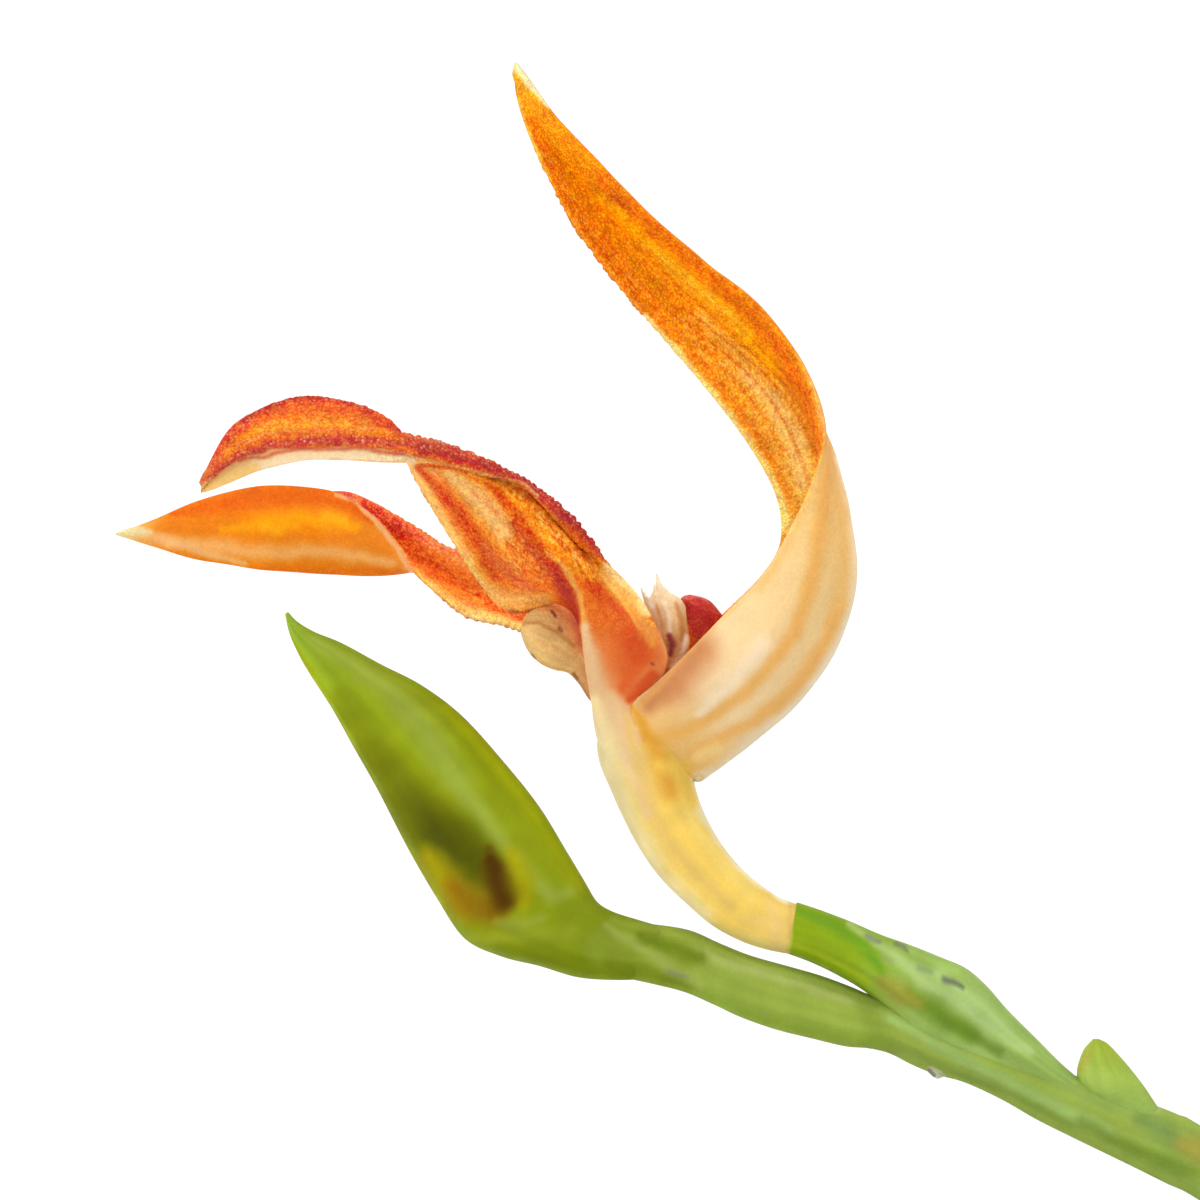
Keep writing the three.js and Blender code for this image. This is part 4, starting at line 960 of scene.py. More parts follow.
# shades that run over the sheath and the stalk alike
stalkStrokes = [
    ((178, 200, 124), 0.8, [(850, 924, 6), (885, 948, 9), (930, 985, 12), (985, 1022, 13), (1030, 1052, 9)]),
    ((170, 196, 119), 0.85, [(940, 975, 14), (975, 1005, 14), (1010, 1035, 10)]),
    ((112, 140, 40), 0.7, [(925, 1005, 9), (960, 1028, 10), (1000, 1052, 9)]),
    ((158, 186, 104), 0.8, [(890, 1018, 9), (960, 1058, 12), (1040, 1098, 12), (1110, 1132, 10)]),
    ((150, 174, 84), 0.7, [(1010, 1056, 8), (1070, 1088, 9), (1130, 1112, 9)]),
    ((122, 144, 56), 0.75, [(1080, 1120, 9), (1130, 1148, 12), (1180, 1172, 12)]),
    ((130, 152, 60), 0.7, [(900, 1046, 6), (950, 1070, 6), (1010, 1094, 7), (1070, 1126, 7)]),
    ((104, 134, 28), 0.7, [(908, 994, 14), (940, 1014, 22), (972, 1034, 16)]),
    ((148, 142, 48), 0.85, [(884, 982, 14), (902, 996, 22), (918, 1004, 12)]),
    ((164, 150, 62), 0.85, [(1180, 1142, 14), (1200, 1150, 26)]),
    ((104, 132, 74), 0.55, [(1142, 1120, 14), (1168, 1134, 18)]),
    ((190, 200, 150), 0.6, [(1132, 1096, 11), (1156, 1108, 11)]),
    ((116, 142, 40), 0.6, [(1110, 1140, 8), (1150, 1154, 11), (1195, 1172, 13)]),
]

sheath = {
    "pairs": [
        (797, 902, 787, 953, 0, .54), (821, 910, 811, 962, 0, .58), (850, 921, 838, 975, 0, .64),
        (880, 934, 866, 992, 0, .68), (911, 945, 892, 1016, 0, .7), (941, 957, 916, 1038, 0, .7),
        (966, 968, 942, 1052, 0, .68), (987, 986, 966, 1062, 0, .65), (1008, 1010, 988, 1070, 0, .6),
        (1038, 1040, 1022, 1082, 0, .54), (1062, 1064, 1052, 1094, 0, .44), (1088, 1086, 1080, 1106, 0, .3),
    ],
    "rows": 170, "columns": 89, "grain": 0.6, "streaks": 4,
    "stops": [(0, (140, 164, 10)), (0.2, (138, 164, 20)), (0.35, (150, 176, 80)), (0.6, (158, 184, 96)),
              (1, (150, 176, 84))],
    "shape": lambda share, angle: 1 + 0.012 * np.cos(9 * angle) + 0.008 * np.cos(17 * angle + 2),
    "strokes": [
        ((110, 156, 24), 0.8, [(800, 912, 9), (835, 926, 12), (862, 945, 12), (882, 972, 9)]),
        ((154, 172, 16), 0.8, [(790, 940, 8), (830, 958, 9), (866, 980, 7)]),
    ] + stalkStrokes + [
        ((120, 130, 104), 0.7, [(868, 937, 7), (880, 941, 4)]),
        ((108, 118, 96), 0.75, [(896, 945, 5), (903, 947, 6), (908, 952, 3)]),
        ((132, 144, 110), 0.65, [(920, 969, 6), (932, 973, 4)]),
        ((94, 98, 84), 0.85, [(944, 979, 6), (952, 981, 7), (962, 987, 4)]),
        ((140, 150, 118), 0.5, [(884, 958, 4), (894, 962, 3)]),
        ((212, 206, 120), 0.7, 0.9, [(793, 904, 3), (788, 952, 3)]),
    ],
}

# shades that run over the bud's foot and the stalk alike
budFootStrokes = [
    ((138, 152, 42), 1.0, 0.6, [(605, 948, 28), (650, 954, 32), (672, 960, 30)]),
    ((116, 130, 14), 0.8, [(610, 966, 14), (650, 974, 14), (690, 984, 12)]),
    ((102, 120, 12), 0.8, [(640, 938, 10), (668, 946, 16), (700, 958, 12)]),
    # painted highlight: a pale streak along the foot of the bud and the stalk
    ((164, 176, 88), 0.65, [(606, 926, 8), (645, 950, 12), (672, 968, 12), (700, 985, 9)]),
    ((150, 164, 60), 0.7, [(612, 920, 7), (650, 928, 7), (690, 938, 8)]),
    ((130, 138, 104), 0.6, [(668, 970, 6), (684, 977, 5)]),
]

budLook = {
    "lit": 1.22, "cells": 7, "contrast": 0.06, "blotches": 0.1, "bump": 0.3, "bumpDepth": 0.03,
    "roughness": (0.42, 0.58), "specular": 0.05, "through": 0.22,
}

bud = {
    "pairs": [
        (660, 926, 655, 979, 0, .4), (636, 919, 614, 980, 0, .44), (612, 911, 577, 977, 0, .56),
        (597, 901, 540, 966, 0, .72), (585, 881, 501, 956, 0, .86), (566, 849, 465, 938, 0, .98),
        (539, 805, 437, 897, 0, 1.0), (503, 760, 408, 847, 0, .98), (462, 715, 379, 791, 0, .86),
        (422, 685, 354, 747, 0, .7), (381, 664, 332, 708, 0, .52), (342, 643, 308, 671, 0, .34),
        (315, 632, 296, 649, 0, .2), (298, 622, 289, 632, 0, .1), (288, 612, 285, 614, 0, .03),
    ],
    "rows": 280, "columns": 121, "grain": 0.5, "streaks": 3,
    "stops": [(0, (140, 158, 52)), (0.1, (132, 146, 26)), (0.3, (142, 152, 14)), (0.55, (146, 158, 16)),
              (0.8, (152, 168, 24)), (1, (150, 176, 56))],
    "shape": lambda share, angle: 1 + 0.012 * np.cos(11 * angle) * np.sin(np.pi * share),
    "strokes": [
        # painted highlight along the bud's keel
        ((158, 172, 66), 0.85,
         [(312, 640, 8), (350, 662, 16), (390, 690, 26), (425, 730, 30), (462, 790, 26), (505, 850, 20),
          (545, 890, 14)]),
        ((168, 173, 10), 0.7, [(450, 708, 12), (505, 770, 22), (548, 828, 24), (580, 884, 18)]),
        ((116, 120, 0), 0.6,
         [(340, 696, 18), (368, 744, 32), (404, 794, 46), (440, 838, 50), (466, 862, 42)]),
        ((112, 116, 0), 0.75, [(372, 752, 28), (404, 796, 42), (440, 838, 50), (466, 862, 42)]),
        ((142, 152, 16), 0.5, [(350, 688, 6), (390, 738, 8), (430, 782, 9), (474, 826, 7)]),
        ((92, 94, 0), 0.6, [(412, 804, 36), (444, 836, 46), (478, 864, 38)]),
        ((78, 80, 0), 0.9, [(438, 830, 38), (462, 850, 40), (484, 868, 28)]),
        ((166, 172, 8), 0.9,
         [(290, 640, 5), (314, 680, 10), (338, 726, 11), (368, 784, 11), (400, 846, 11), (434, 900, 11)]),
        ((166, 148, 2), 0.8, [(430, 858, 22), (448, 882, 30), (462, 902, 22)]),
        ((142, 100, 0), 0.9, [(454, 888, 22), (470, 904, 32), (490, 910, 26)]),
        ((164, 154, 4), 0.85, [(512, 856, 18), (522, 880, 24), (524, 902, 16)]),
        # the bract's dark slit: the brown bud inside it, with painted shade in the opening
        ((92, 54, 0), 0.6, [(488, 848, 8), (494, 872, 26), (502, 898, 28)]),
        ((70, 38, 0), 0.8, [(491, 858, 8), (497, 882, 22), (504, 902, 18)]),
        # painted highlights: a pale arc near the foot and a pale spot beside it
        ((160, 166, 76), 0.5, [(496, 922, 9), (520, 926, 12), (542, 918, 10)]),
        ((160, 172, 84), 0.55, [(552, 898, 14), (568, 892, 15)]),
        ((122, 134, 8), 0.8, [(500, 948, 12), (560, 962, 16), (620, 966, 16), (655, 968, 12)]),
        ((152, 160, 40), 0.7, [(470, 938, 8), (520, 936, 12), (570, 932, 14)]),
    ] + budFootStrokes,
}

lipLook = {
    "lit": 1.13, "cells": 14, "contrast": 0.12, "blotches": 0.12, "bump": 0.4, "bumpDepth": 0.025,
    "roughness": (0.4, 0.6), "specular": 0.14, "through": 0.3,
}

lip = {
    "pairs": [
        (596, 706, 620, 672, .25, .28), (588, 698, 612, 655, .25, .34), (579, 684, 604, 636, .2, .42),
        (568, 673, 595, 618, .15, .5), (555, 670, 586, 605, .1, .56), (543, 665, 571, 598, .08, .6),
        (532, 656, 556, 598, .06, .6), (525, 645, 540, 602, .06, .54), (521, 633, 529, 611, .08, .4),
        (522, 626, 524, 618, .1, .16),
    ],
    "rows": 110, "columns": 97, "grain": 0.8, "streaks": 3,
    "stops": [(0, (224, 150, 96)), (0.4, (228, 178, 112)), (1, (232, 190, 122))],
    "shape": lambda share, angle: (1 - 0.09 * np.exp(-((angle - 4.3) / 0.16) ** 2)
                                   + 0.014 * np.cos(31 * angle)),
    "strokes": [
        ((236, 146, 88), 0.9, [(544, 604, 10), (560, 606, 20), (574, 626, 20), (584, 650, 12)]),
        ((206, 84, 60), 0.65, [(568, 602, 10), (577, 622, 12), (582, 642, 8)]),
        ((232, 196, 128), 0.85, [(526, 636, 9), (536, 650, 12), (552, 660, 12), (568, 666, 8)]),
        ((190, 126, 66), 0.75, 0.9, [(523, 624, 3), (540, 622, 3), (556, 632, 3), (575, 646, 3)]),
        ((214, 164, 104), 0.5, 0.9, [(536, 640, 1.6), (556, 648, 1.6), (576, 660, 1.6)]),
        ((214, 164, 104), 0.5, 0.9, [(532, 648, 1.6), (552, 657, 1.6), (574, 668, 1.6)]),
        ((242, 214, 150), 0.5, 0.9, [(534, 634, 1.6), (556, 643, 1.6), (576, 655, 1.6)]),
        ((96, 40, 48), 0.9, [(551, 612, 2.6), (554, 617, 2.2)]),
        ((96, 40, 48), 0.85, [(559, 629, 2.6), (562, 631, 2)]),
        ((150, 96, 50), 0.8, [(530, 655, 2.5), (534, 659, 2.5)]),
        ((190, 134, 76), 0.85, [(572, 676, 5), (580, 688, 5), (590, 700, 4)]),
        ((130, 76, 44), 0.7, [(573, 673, 2.5), (577, 679, 2.5)]),
    ],
}

columnLook = {
    "lit": 1.1, "cells": 16, "contrast": 0.16, "blotches": 0.12, "bump": 0.5, "bumpDepth": 0.025,
    "roughness": (0.4, 0.55), "specular": 0.12, "through": 0.15,
}

column = {
    "pairs": [
        (642, 718, 668, 722, 0, .3), (655, 690, 685, 690, 0, .32), (668, 662, 700, 668, 0, .36),
        (680, 640, 714, 650, 0, .42), (686, 624, 722, 634, 0, .48), (684, 608, 724, 620, 0, .5),
        (681, 600, 718, 610, 0, .46), (684, 596, 710, 601, 0, .36), (690, 594.5, 702, 597, 0, .2),
    ],
    "rows": 110, "columns": 73, "grain": 0.8, "streaks": 3,
    "stops": [(0, (220, 120, 80)), (0.35, (216, 96, 40)), (0.55, (202, 76, 38)), (0.75, (194, 46, 42)),
              (1, (198, 50, 52))],
    "shape": lambda share, angle: 1 + 0.03 * np.cos(2 * angle) * share,
    "strokes": [
        ((214, 92, 86), 0.6, 0.9, [(684, 598, 2.5), (698, 597, 3), (712, 604, 3), (722, 613, 2.5)]),
        ((226, 94, 30), 0.95, [(684, 624, 6), (688, 640, 12), (692, 655, 10)]),
        ((170, 24, 34), 0.6, [(700, 612, 8), (708, 620, 8)]),
    ],
}

for name, slotName, node, made, look in (
        ("ovary", "pedicel", "ovary", ovary, ovaryLook),
        ("pedicelSheath", "flower_stalk", "pedicel_sheath", sheath, stalkLook),
        ("bud", "bud", "bud_bract", bud, budLook),
        ("lip", "lip", "lip", lip, lipLook),
        ("column", "column", "column", column, columnLook)):
    carry(tubeSkin(name, made, look), node)


# petals

petalLook = {
    "lit": 1.06, "cells": 12, "contrast": 0.12, "blotches": 0.16, "bump": 0.4, "bumpDepth": 0.025,
    "roughness": (0.4, 0.6), "specular": 0.16, "through": 0.45,
}

petal = {
    # rails from the base to the ragged top in picture pixels and depths
    "rails": [
        [(663, 676, .74), (659, 655, .78), (655, 636, .8), (650, 618, .82), (645, 604, .84), (642, 594, .86)],
        [(667, 675, .78), (666, 652, .86), (662, 630, .9), (657, 612, .92), (652, 602, .92), (650, 595, .9)],
        [(671, 674, .8), (674, 650, .9), (671, 628, .95), (666, 610, .95), (661, 597, .94), (659, 588, .9)],
        [(675, 671, .77), (682, 648, .82), (680, 626, .86), (677, 610, .87), (672, 600, .88),
         (668, 592, .87)],
        [(679, 668, .72), (689, 645, .72), (687, 622, .72), (686, 608, .74), (681, 600, .78),
         (675, 595, .82)],
    ],
    "rows": 130, "columns": 64, "grain": 0.7,
    "thickness": 0.1, "edgeShare": 0.35, "tipThinning": 0.6, "endFade": 0.02,
    "crumpleSize": 0.35, "crumple": 0.05, "teethPower": 5,
    # teeth of the top edge: across, width, height in mm
    "teeth": [(0.03, 0.06, 0.16), (0.22, 0.05, -0.05), (0.4, 0.05, 0.14), (0.52, 0.06, 0.34),
              (0.63, 0.04, 0.12),
              (0.74, 0.05, 0.16), (0.9, 0.05, 0.05)],
    "stops": [(0, (226, 150, 96)), (0.2, (226, 172, 116)), (0.45, (228, 184, 130)), (0.7, (238, 206, 160)),
              (1, (252, 240, 214))],
    "strokes": [
        ((224, 158, 98), 0.6, [(664, 646, 4), (662, 624, 4), (657, 606, 3)]),
        ((208, 150, 90), 0.75, [(682, 640, 4), (681, 620, 5), (676, 604, 4)]),
        ((250, 240, 214), 0.8, [(670, 632, 3), (669, 616, 4), (664, 600, 4)]),
        ((255, 252, 240), 0.9, [(650, 604, 4), (653, 607, 4)]),
        ((150, 50, 50), 0.9, [(669, 636, 5), (672, 645, 8), (671, 654, 5)]),
        ((254, 248, 234), 0.95, [(686, 636, 4), (685, 648, 5), (680, 658, 5), (672, 667, 4)]),
    ],
}


def buildPetal(name, node, side):
    rows, columns = petal["rows"], petal["columns"]
    sheet = sheetThrough([[(x, y, side * depth) for x, y, depth in rail] for rail in petal["rails"]],
                         rows, columns)
    share, across = shares(rows, columns)
    reach = sum(height * np.exp(-((across - place) / width) ** 2) for place, width, height in petal["teeth"])
    sheet = sheet + unit(np.gradient(sheet, axis=0)) * (reach * share**petal["teethPower"])[..., None]
    inward = faceOf(sheet)
    ends = np.clip(np.minimum(share, 1 - share) / petal["endFade"], 0, 1) ** 0.5
    body = petal["edgeShare"] + (1 - petal["edgeShare"]) * np.sin(np.pi * across) ** 0.5
    half = petal["thickness"] / 2 * body * ends * (1 - petal["tipThinning"] * share)
    sheet = sheet + inward * (wobble(sheet, petal["crumpleSize"], 3) * petal["crumple"])[..., None]
    points = bothFaces(sheet + inward * half[..., None], sheet - inward * half[..., None])
    along = np.broadcast_to(share, points.shape[:2])
    tint = paint(blend(petal["stops"], along), warped(seenAt(points), 1.2, 8), petal["strokes"])
    values = {"grain": np.full(along.shape, petal["grain"])}
    carry(livingPiece(name, points, values, tint, petalLook["lit"], petalLook), node)


buildPetal("nearPetal", "near_petal", -1)
buildPetal("farPetal", "far_petal", 1)


# the flower stalk: a long arc from the first leaf, then the flattened zig-zag that the photograph shows

stalk = {
    "line": [(6, .55, 66), (6.6, -.5, 70.5), (7.2, -1.6, 77), (7.6, -2, 86), (6.2, -1.4, 97), (2, -.6, 108),
             (-5, 0, 116.4), (-13, 0, 122.8), (-19.5, 0, 126.6)],
    "halfWide": [.8, .85, .8, .75, .72, .7, .7, .72, .74],
    "halfDeep": [.7, .7, .6, .55, .5, .5, .5, .5, .5],
    # the rest, from the picture's right edge to the bud: upper and lower outline, middle depth, half depth
    "pairs": [
        (1200, 1126, 1196, 1198, 0, .5), (1180, 1116, 1168, 1184, 0, .5), (1150, 1104, 1138, 1169, 0, .5),
        (1115, 1092, 1103, 1152, 0, .5), (1080, 1078, 1070, 1136, 0, .5), (1045, 1064, 1036, 1119, 0, .5),
        (1010, 1050, 1001, 1099, 0, .5), (975, 1036, 964, 1082, 0, .5), (945, 1024, 935, 1074, 0, .5),
        (920, 1012, 911, 1064, 0, .5), (893, 1000, 889, 1053, 0, .5), (872, 996, 868, 1048, 0, .48),
        (850, 987, 845, 1046, 0, .46), (820, 976, 811, 1038, 0, .46), (785, 966, 775, 1029, 0, .46),
        (750, 956, 741, 1017, 0, .45), (720, 944, 713, 1004, 0, .44), (690, 931, 685, 992, 0, .42),
        (655, 925, 654, 984, 0, .42), (625, 923, 626, 978, 0, .42), (596, 926, 600, 973, 0, .42),
    ],
    "rows": 760, "columns": 65, "grain": 0.6, "streaks": 30, "streakDepth": 0.045,
    "stops": [(0, (104, 132, 52)), (0.3, (118, 144, 58)), (0.7, (146, 170, 82)), (1, (148, 164, 60))],
    "strokes": [
        ((150, 168, 62), 0.8, [(640, 950, 20), (720, 975, 24), (800, 1005, 24), (870, 1020, 20)]),
        # painted highlight along the upper side of the stalk
        ((170, 182, 96), 0.85, [(690, 950, 8), (730, 964, 11), (790, 982, 10), (850, 1002, 8)]),
        ((140, 164, 48), 0.7, [(700, 992, 9), (760, 1018, 10), (830, 1034, 10), (880, 1042, 8)]),
        ((120, 140, 44), 0.45, [(866, 1012, 14), (880, 1035, 22), (892, 1048, 18)]),
    ] + stalkStrokes + budFootStrokes,
    "shape": lambda share, angle: 1 + 0.02 * np.cos(7 * angle + 1) + 0.012 * np.cos(13 * angle),
    # bracts that clasp the stalk: foot, tip, half width
    "bracts": [
        [(7.35, -1.75, 80), (6.7, -2, 88.5), 1.1], [(4.6, -1.2, 102), (2, -.5, 109.6), 1.05],
        [(-8.5, 0, 119.3), (-14.6, 0, 124.9), 1.0], [(5.35, .85, 62.6), (6.9, -1.0, 73.4), 1.25],
    ],
    # what a bract has otherwise than the stalk, and its half width from foot to tip
    "bract": {
        "rows": 60, "columns": 49, "strokes": [], "streaks": 4, "flatness": 0.82,
        "stops": [(0, (150, 160, 84)), (1, (176, 160, 104))],
        "swell": [(0, 0.74), (0.25, 0.98), (0.5, 0.95), (0.75, 0.72), (1, 0.2)],
    },
}

# the old bract whose tip the photograph shows, and a broken fleck of dry skin under the node
oldBract = {
    "pairs": [
        (1168, 1122, 1084, 1096, -.05, .34), (1156, 1104, 1078, 1084, -.06, .36),
        (1144, 1086, 1077, 1070, -.07, .34), (1130, 1068, 1080, 1058, -.06, .3),
        (1117, 1053, 1084, 1049, -.05, .24), (1107, 1043, 1089, 1043, -.03, .16),
        (1099, 1039, 1093, 1039, 0, .06),
    ],
    "rows": 60, "columns": 49, "grain": 0.6, "streaks": 2,
    "stops": [(0, (150, 176, 84)), (0.5, (165, 187, 80)), (1, (156, 170, 50))],
    "strokes": [((176, 152, 64), 0.6, [(1083, 1068, 7), (1086, 1055, 6)])],
}

dryFleck = {
    "pairs": [
        (918, 1058, 950, 1072, -.1, .24), (922, 1064, 948, 1076, -.1, .22), (927, 1071, 943, 1077, -.1, .16),
        (933, 1077, 938, 1079, -.1, .05),
    ],
    "rows": 24, "columns": 33, "grain": 0.6, "streaks": 2,
    "stops": [(0, (150, 160, 96)), (0.6, (190, 190, 160)), (1, (206, 204, 190))],
    "strokes": [((96, 92, 70), 0.8, [(928, 1070, 4), (934, 1076, 3)])],
}


def stalkFrames():
    lower = lineFrames(stalk["line"], stalk["halfWide"], stalk["halfDeep"])
    upper = crossFrames(stalk["pairs"])
    for part in (lower, upper):
        # both parts turn the same way round
        part[:, 1] *= np.sign(part[:, 1, 2:3] + 1e-9)
        part[:, 2] *= np.where(part[:, 2, 1:2] < 0, -1, 1)
    return np.concatenate([lower, upper])


def buildStalk():
    piece = tubeSkin("flowerStalk", stalk, stalkLook, stalkFrames())
    parts = []
    bract = dict(stalk, **stalk["bract"])
    for index, (foot, tip, width) in enumerate(stalk["bracts"]):
        foot, tip = np.array(foot), np.array(tip)
        line = [foot + (tip - foot) * place for place, _ in bract["swell"]]
        wide = [width * share for _, share in bract["swell"]]
        frames = lineFrames(line, wide, [value * bract["flatness"] for value in wide])
        parts.append(tubeSkin(f"stalkBract{index}", bract, stalkLook, frames))
    parts.append(tubeSkin("dryFleck", dryFleck, stalkLook))
    parts.append(tubeSkin("oldBract", oldBract, stalkLook))
    joinOnto(piece, parts)
    carry(piece, "scape")


buildStalk()


# leaves

leaves = [
    # foot, heading, lean at foot and tip, turn, twist, length, width, stem
    ((4.5, 1), 22, (5, 20), 8, 12, 90, 15.5, 17), ((-3, 5), 128, (8, 36), -14, -10, 76, 14, 15),
    ((-7, -1.5), 196, (12, 58), 10, 14, 70, 13.5, 12), ((.5, -6), 262, (10, 50), -10, -12, 74, 14.5, 13),
    ((8, -4.5), 314, (10, 54), 12, 10, 80, 15, 15), ((10.5, 4), 44, (14, 62), 10, -8, 74, 14, 14),
    ((2.5, 8), 86, (6, 42), -8, 10, 82, 15, 16), ((-8, 5), 163, (12, 52), 12, -10, 64, 13, 12),
    ((-2.5, -1.5), 236, (4, 24), -6, 6, 50, 9.5, 9),
]
leafFeet = [leaf[0] for leaf in leaves]

leafShape = {
    "foot": 50.3, "rows": 150, "columns": 56, "rowPower": 0.95,
    "steps": 12, "stepPower": 0.9, "leanPower": 1.3,
    "stemHalfWidth": 1.25, "neck": 0.85, "stalkLength": 12, "stalkShare": 0.12, "tipShare": 0.3,
    "widest": 0.64, "base": 0.16, "basePower": 1.25, "tipPower": 2.3,
    "thickness": 1.3, "tipThinning": 0.25, "edgePower": 0.35,
    "foldAtStalk": 0.85, "foldAtTip": 0.16, "foldEase": 2.2, "creaseRound": 0.5,
    "groove": (0.55, 0.22), "keel": (0.6, 0.14),      # width and depth
    "wave": (9, 0.22),                                # size and height
}

# dry sheaths round the stem: foot and mouth in mm and in shares of the stem, and radius
stemSheath = {
    "parts": [(0.6, 0, 0.5, 1.42), (0, 0.34, 0.82, 1.34)],
    "rows": 24, "columns": 33, "slant": 1.2, "flare": 0.12, "waist": 0.05, "lining": 0.93,
}


def leafHalfWidth(length, width, stem, s):
    start = stem + leafShape["stalkLength"] / 2
    if s < start:
        return leafShape["stemHalfWidth"] * (1 + (leafShape["neck"] - 1) * s / start)
    t = min(1, (s - start) / (length - start))
    widest, base = leafShape["widest"], leafShape["base"]
    if t < widest:
        outline = base + (1 - base) * math.sin(math.pi / 2 * t / widest) ** leafShape["basePower"]
    else:
        outline = math.sqrt(max(0, 1 - ((t - widest) / (1 - widest)) ** leafShape["tipPower"]))
    least = leafShape["stemHalfWidth"] * (leafShape["neck"] if t < widest else leafShape["tipShare"])
    return max(least, outline * width / 2)


def leafFrames(foot, heading, lean, turn, twist, length, width, stem):
    # the same walk from foot to tip as the plain leaf's
    start, steps = stem + leafShape["stalkLength"] / 2, leafShape["steps"]
    stops = [0, stem / 2, stem, start]
    stops += [start + (length - start) * math.sin(math.pi / 2 * i / steps) ** leafShape["stepPower"]
              for i in range(1, steps + 1)]
    centre, travelled, frames = Vector((*foot, leafShape["foot"])), 0, []
    for s in stops:
        share = s / length
        angle = math.radians(lean[0] + (lean[1] - lean[0]) * share ** leafShape["leanPower"])
        around = math.radians(heading + turn * share)
        outward = Vector((math.cos(around), math.sin(around), 0))
        direction = outward * math.sin(angle) + Vector((0, 0, 1)) * math.cos(angle)
        centre = centre + direction * (s - travelled)
        travelled = s
        across = Vector((math.sin(around), -math.cos(around), 0))
        across.rotate(Matrix.Rotation(math.radians(twist) * share, 3, direction))
        frames.append([list(centre), list(across), list(direction.cross(across))])
    return stops, np.array(frames)


def framesAt(leaf, s):
    stops, frames = leafFrames(*leaf)
    return splineAt(frames, np.interp(s, stops, np.arange(len(stops))))


def leafSkinPoints(leaf):
    foot, heading, lean, turn, twist, length, width, stem = leaf
    rows, columns = leafShape["rows"], leafShape["columns"]
    s = length * np.sin(np.linspace(0, np.pi / 2, rows)) ** leafShape["rowPower"]
    frames = framesAt(leaf, s)
    wide = np.array([leafHalfWidth(length, width, stem, value) for value in s])
    onBlade = np.clip((s - stem) / (length - stem), 0, 1)
    flatness = eased(np.clip(onBlade / leafShape["stalkShare"], 0, 1))
    thick = (wide + (leafShape["thickness"] / 2 - wide) * flatness) * (1 - leafShape["tipThinning"] * onBlade)
    opened = np.minimum(1, onBlade * leafShape["foldEase"])
    narrow, broad = leafShape["foldAtStalk"], leafShape["foldAtTip"]
    fold = flatness * (narrow + (broad - narrow) * opened)
    flatness, fold = flatness[:, None], fold[:, None]
    angle = np.linspace(0, 2 * np.pi, columns)
    cosine, sine = np.cos(angle)[None], np.sin(angle)[None]
    x = cosine * wide[:, None]
    y = np.sign(sine) * np.abs(sine) ** (1 - leafShape["edgePower"] * flatness) * thick[:, None]
    crease = leafShape["creaseRound"]
    y = y + fold * (np.sqrt(x * x + crease**2) - crease)
    for side, (reach, depth) in ((sine > 0, leafShape["groove"]), (sine < 0, leafShape["keel"])):
        y = y - np.exp(-((x / reach) ** 2)) * side * depth * flatness
    points = frames[:, None, 0] + x[..., None] * frames[:, None, 1] + y[..., None] * frames[:, None, 2]
    waveSize, waveHeight = leafShape["wave"]
    wave = wobble(points, waveSize, 5) * waveHeight * flatness
    points = capped(points + wave[..., None] * frames[:, None, 2], frames)
    everyRow = np.ones((rows + 2, 1))
    return points, {"spread": cosine * everyRow, "blade": withEnds(onBlade, 0, 1, columns),
                    "upper": (sine > 0) * everyRow}


leafLook = {
    "deep": rgba(30, 62, 16), "fresh": rgba(70, 106, 30), "rib": rgba(102, 138, 54),
    "stem": rgba(88, 110, 42),
    "under": rgba(72, 106, 42), "edge": rgba(104, 78, 48),
    "roughness": (0.3, 0.5), "specular": 0.45, "bump": 0.35, "bumpDepth": 0.08,
    "cloudScale": 0.09, "fineScale": 1.6, "dotScale": 1.7, "nerves": (16.0, 2.5), "nerveRelief": 2.0,
}

# dry skin: the sheaths and the rhizome
paperyLook = {
    "dark": rgba(112, 92, 60), "pale": rgba(188, 170, 130), "stretch": (3, 3, 0.35), "scale": 1.4,
    "roughness": 0.75, "specular": 0.5, "bump": 0.5, "bumpDepth": 0.1,
}


def makeLeafSkin():
    material, tree, surface, output = newMaterial("leafSkin")
    place = inMm(tree)
    spreadOut, blade, upper = (attributeAt(tree, label) for label in ("spread", "blade", "upper"))
    wide = noiseAt(tree, place, leafLook["cloudScale"], 4, 0.6)
    fine = noiseAt(tree, place, leafLook["fineScale"], 3)
    cells = addNode(tree, "TexVoronoi", {"Vector": place, "Scale": leafLook["dotScale"]}).outputs["Distance"]
    rib = mathNode(tree, "ABSOLUTE", spreadOut)
    margin = times(tree, spread(tree, rib, 0.965, 0.998), spread(tree, blade, 0.1, 0.3))
    base = mixColour(tree, spread(tree, wide, 0.2, 0.85), leafLook["deep"], leafLook["fresh"])
    for share, colour in ((mathNode(tree, "SUBTRACT", 1.0, upper), "under"),
                          (spread(tree, rib, 0.02, 0.1, 0.75, 0.0), "rib"),
                          (spread(tree, blade, 0.0, 0.12, 0.85, 0.0), "stem"),
                          (times(tree, margin, 0.6), "edge")):
        base = mixColour(tree, share, base, leafLook[colour])
    # nerves run side by side from foot to tip
    across, along = leafLook["nerves"]
    run = {0: times(tree, spreadOut, across), 1: times(tree, blade, along), 2: upper}
    run = addNode(tree, "CombineXYZ", run)
    nerves = noiseAt(tree, run.outputs[0], 1.0, 3)
    value = times(tree, spread(tree, fine, 0.2, 0.8, 0.9, 1.1), spread(tree, nerves, 0.3, 0.7, 0.84, 1.16))
    base = addNode(tree, "HueSaturation", {"Color": base, "Value": value}).outputs[0]
    base = mixColour(tree, spread(tree, cells, 0.0, 0.16, 0.3, 0.0), base, leafLook["deep"])
    height = mathNode(tree, "MULTIPLY_ADD", nerves, leafLook["nerveRelief"],
                      mathNode(tree, "MULTIPLY_ADD", fine, 0.6, cells))
    dress(tree, surface, base, spread(tree, wide, 0.3, 0.7, *leafLook["roughness"]), leafLook["specular"],
          height, leafLook["bump"], leafLook["bumpDepth"])
    return material


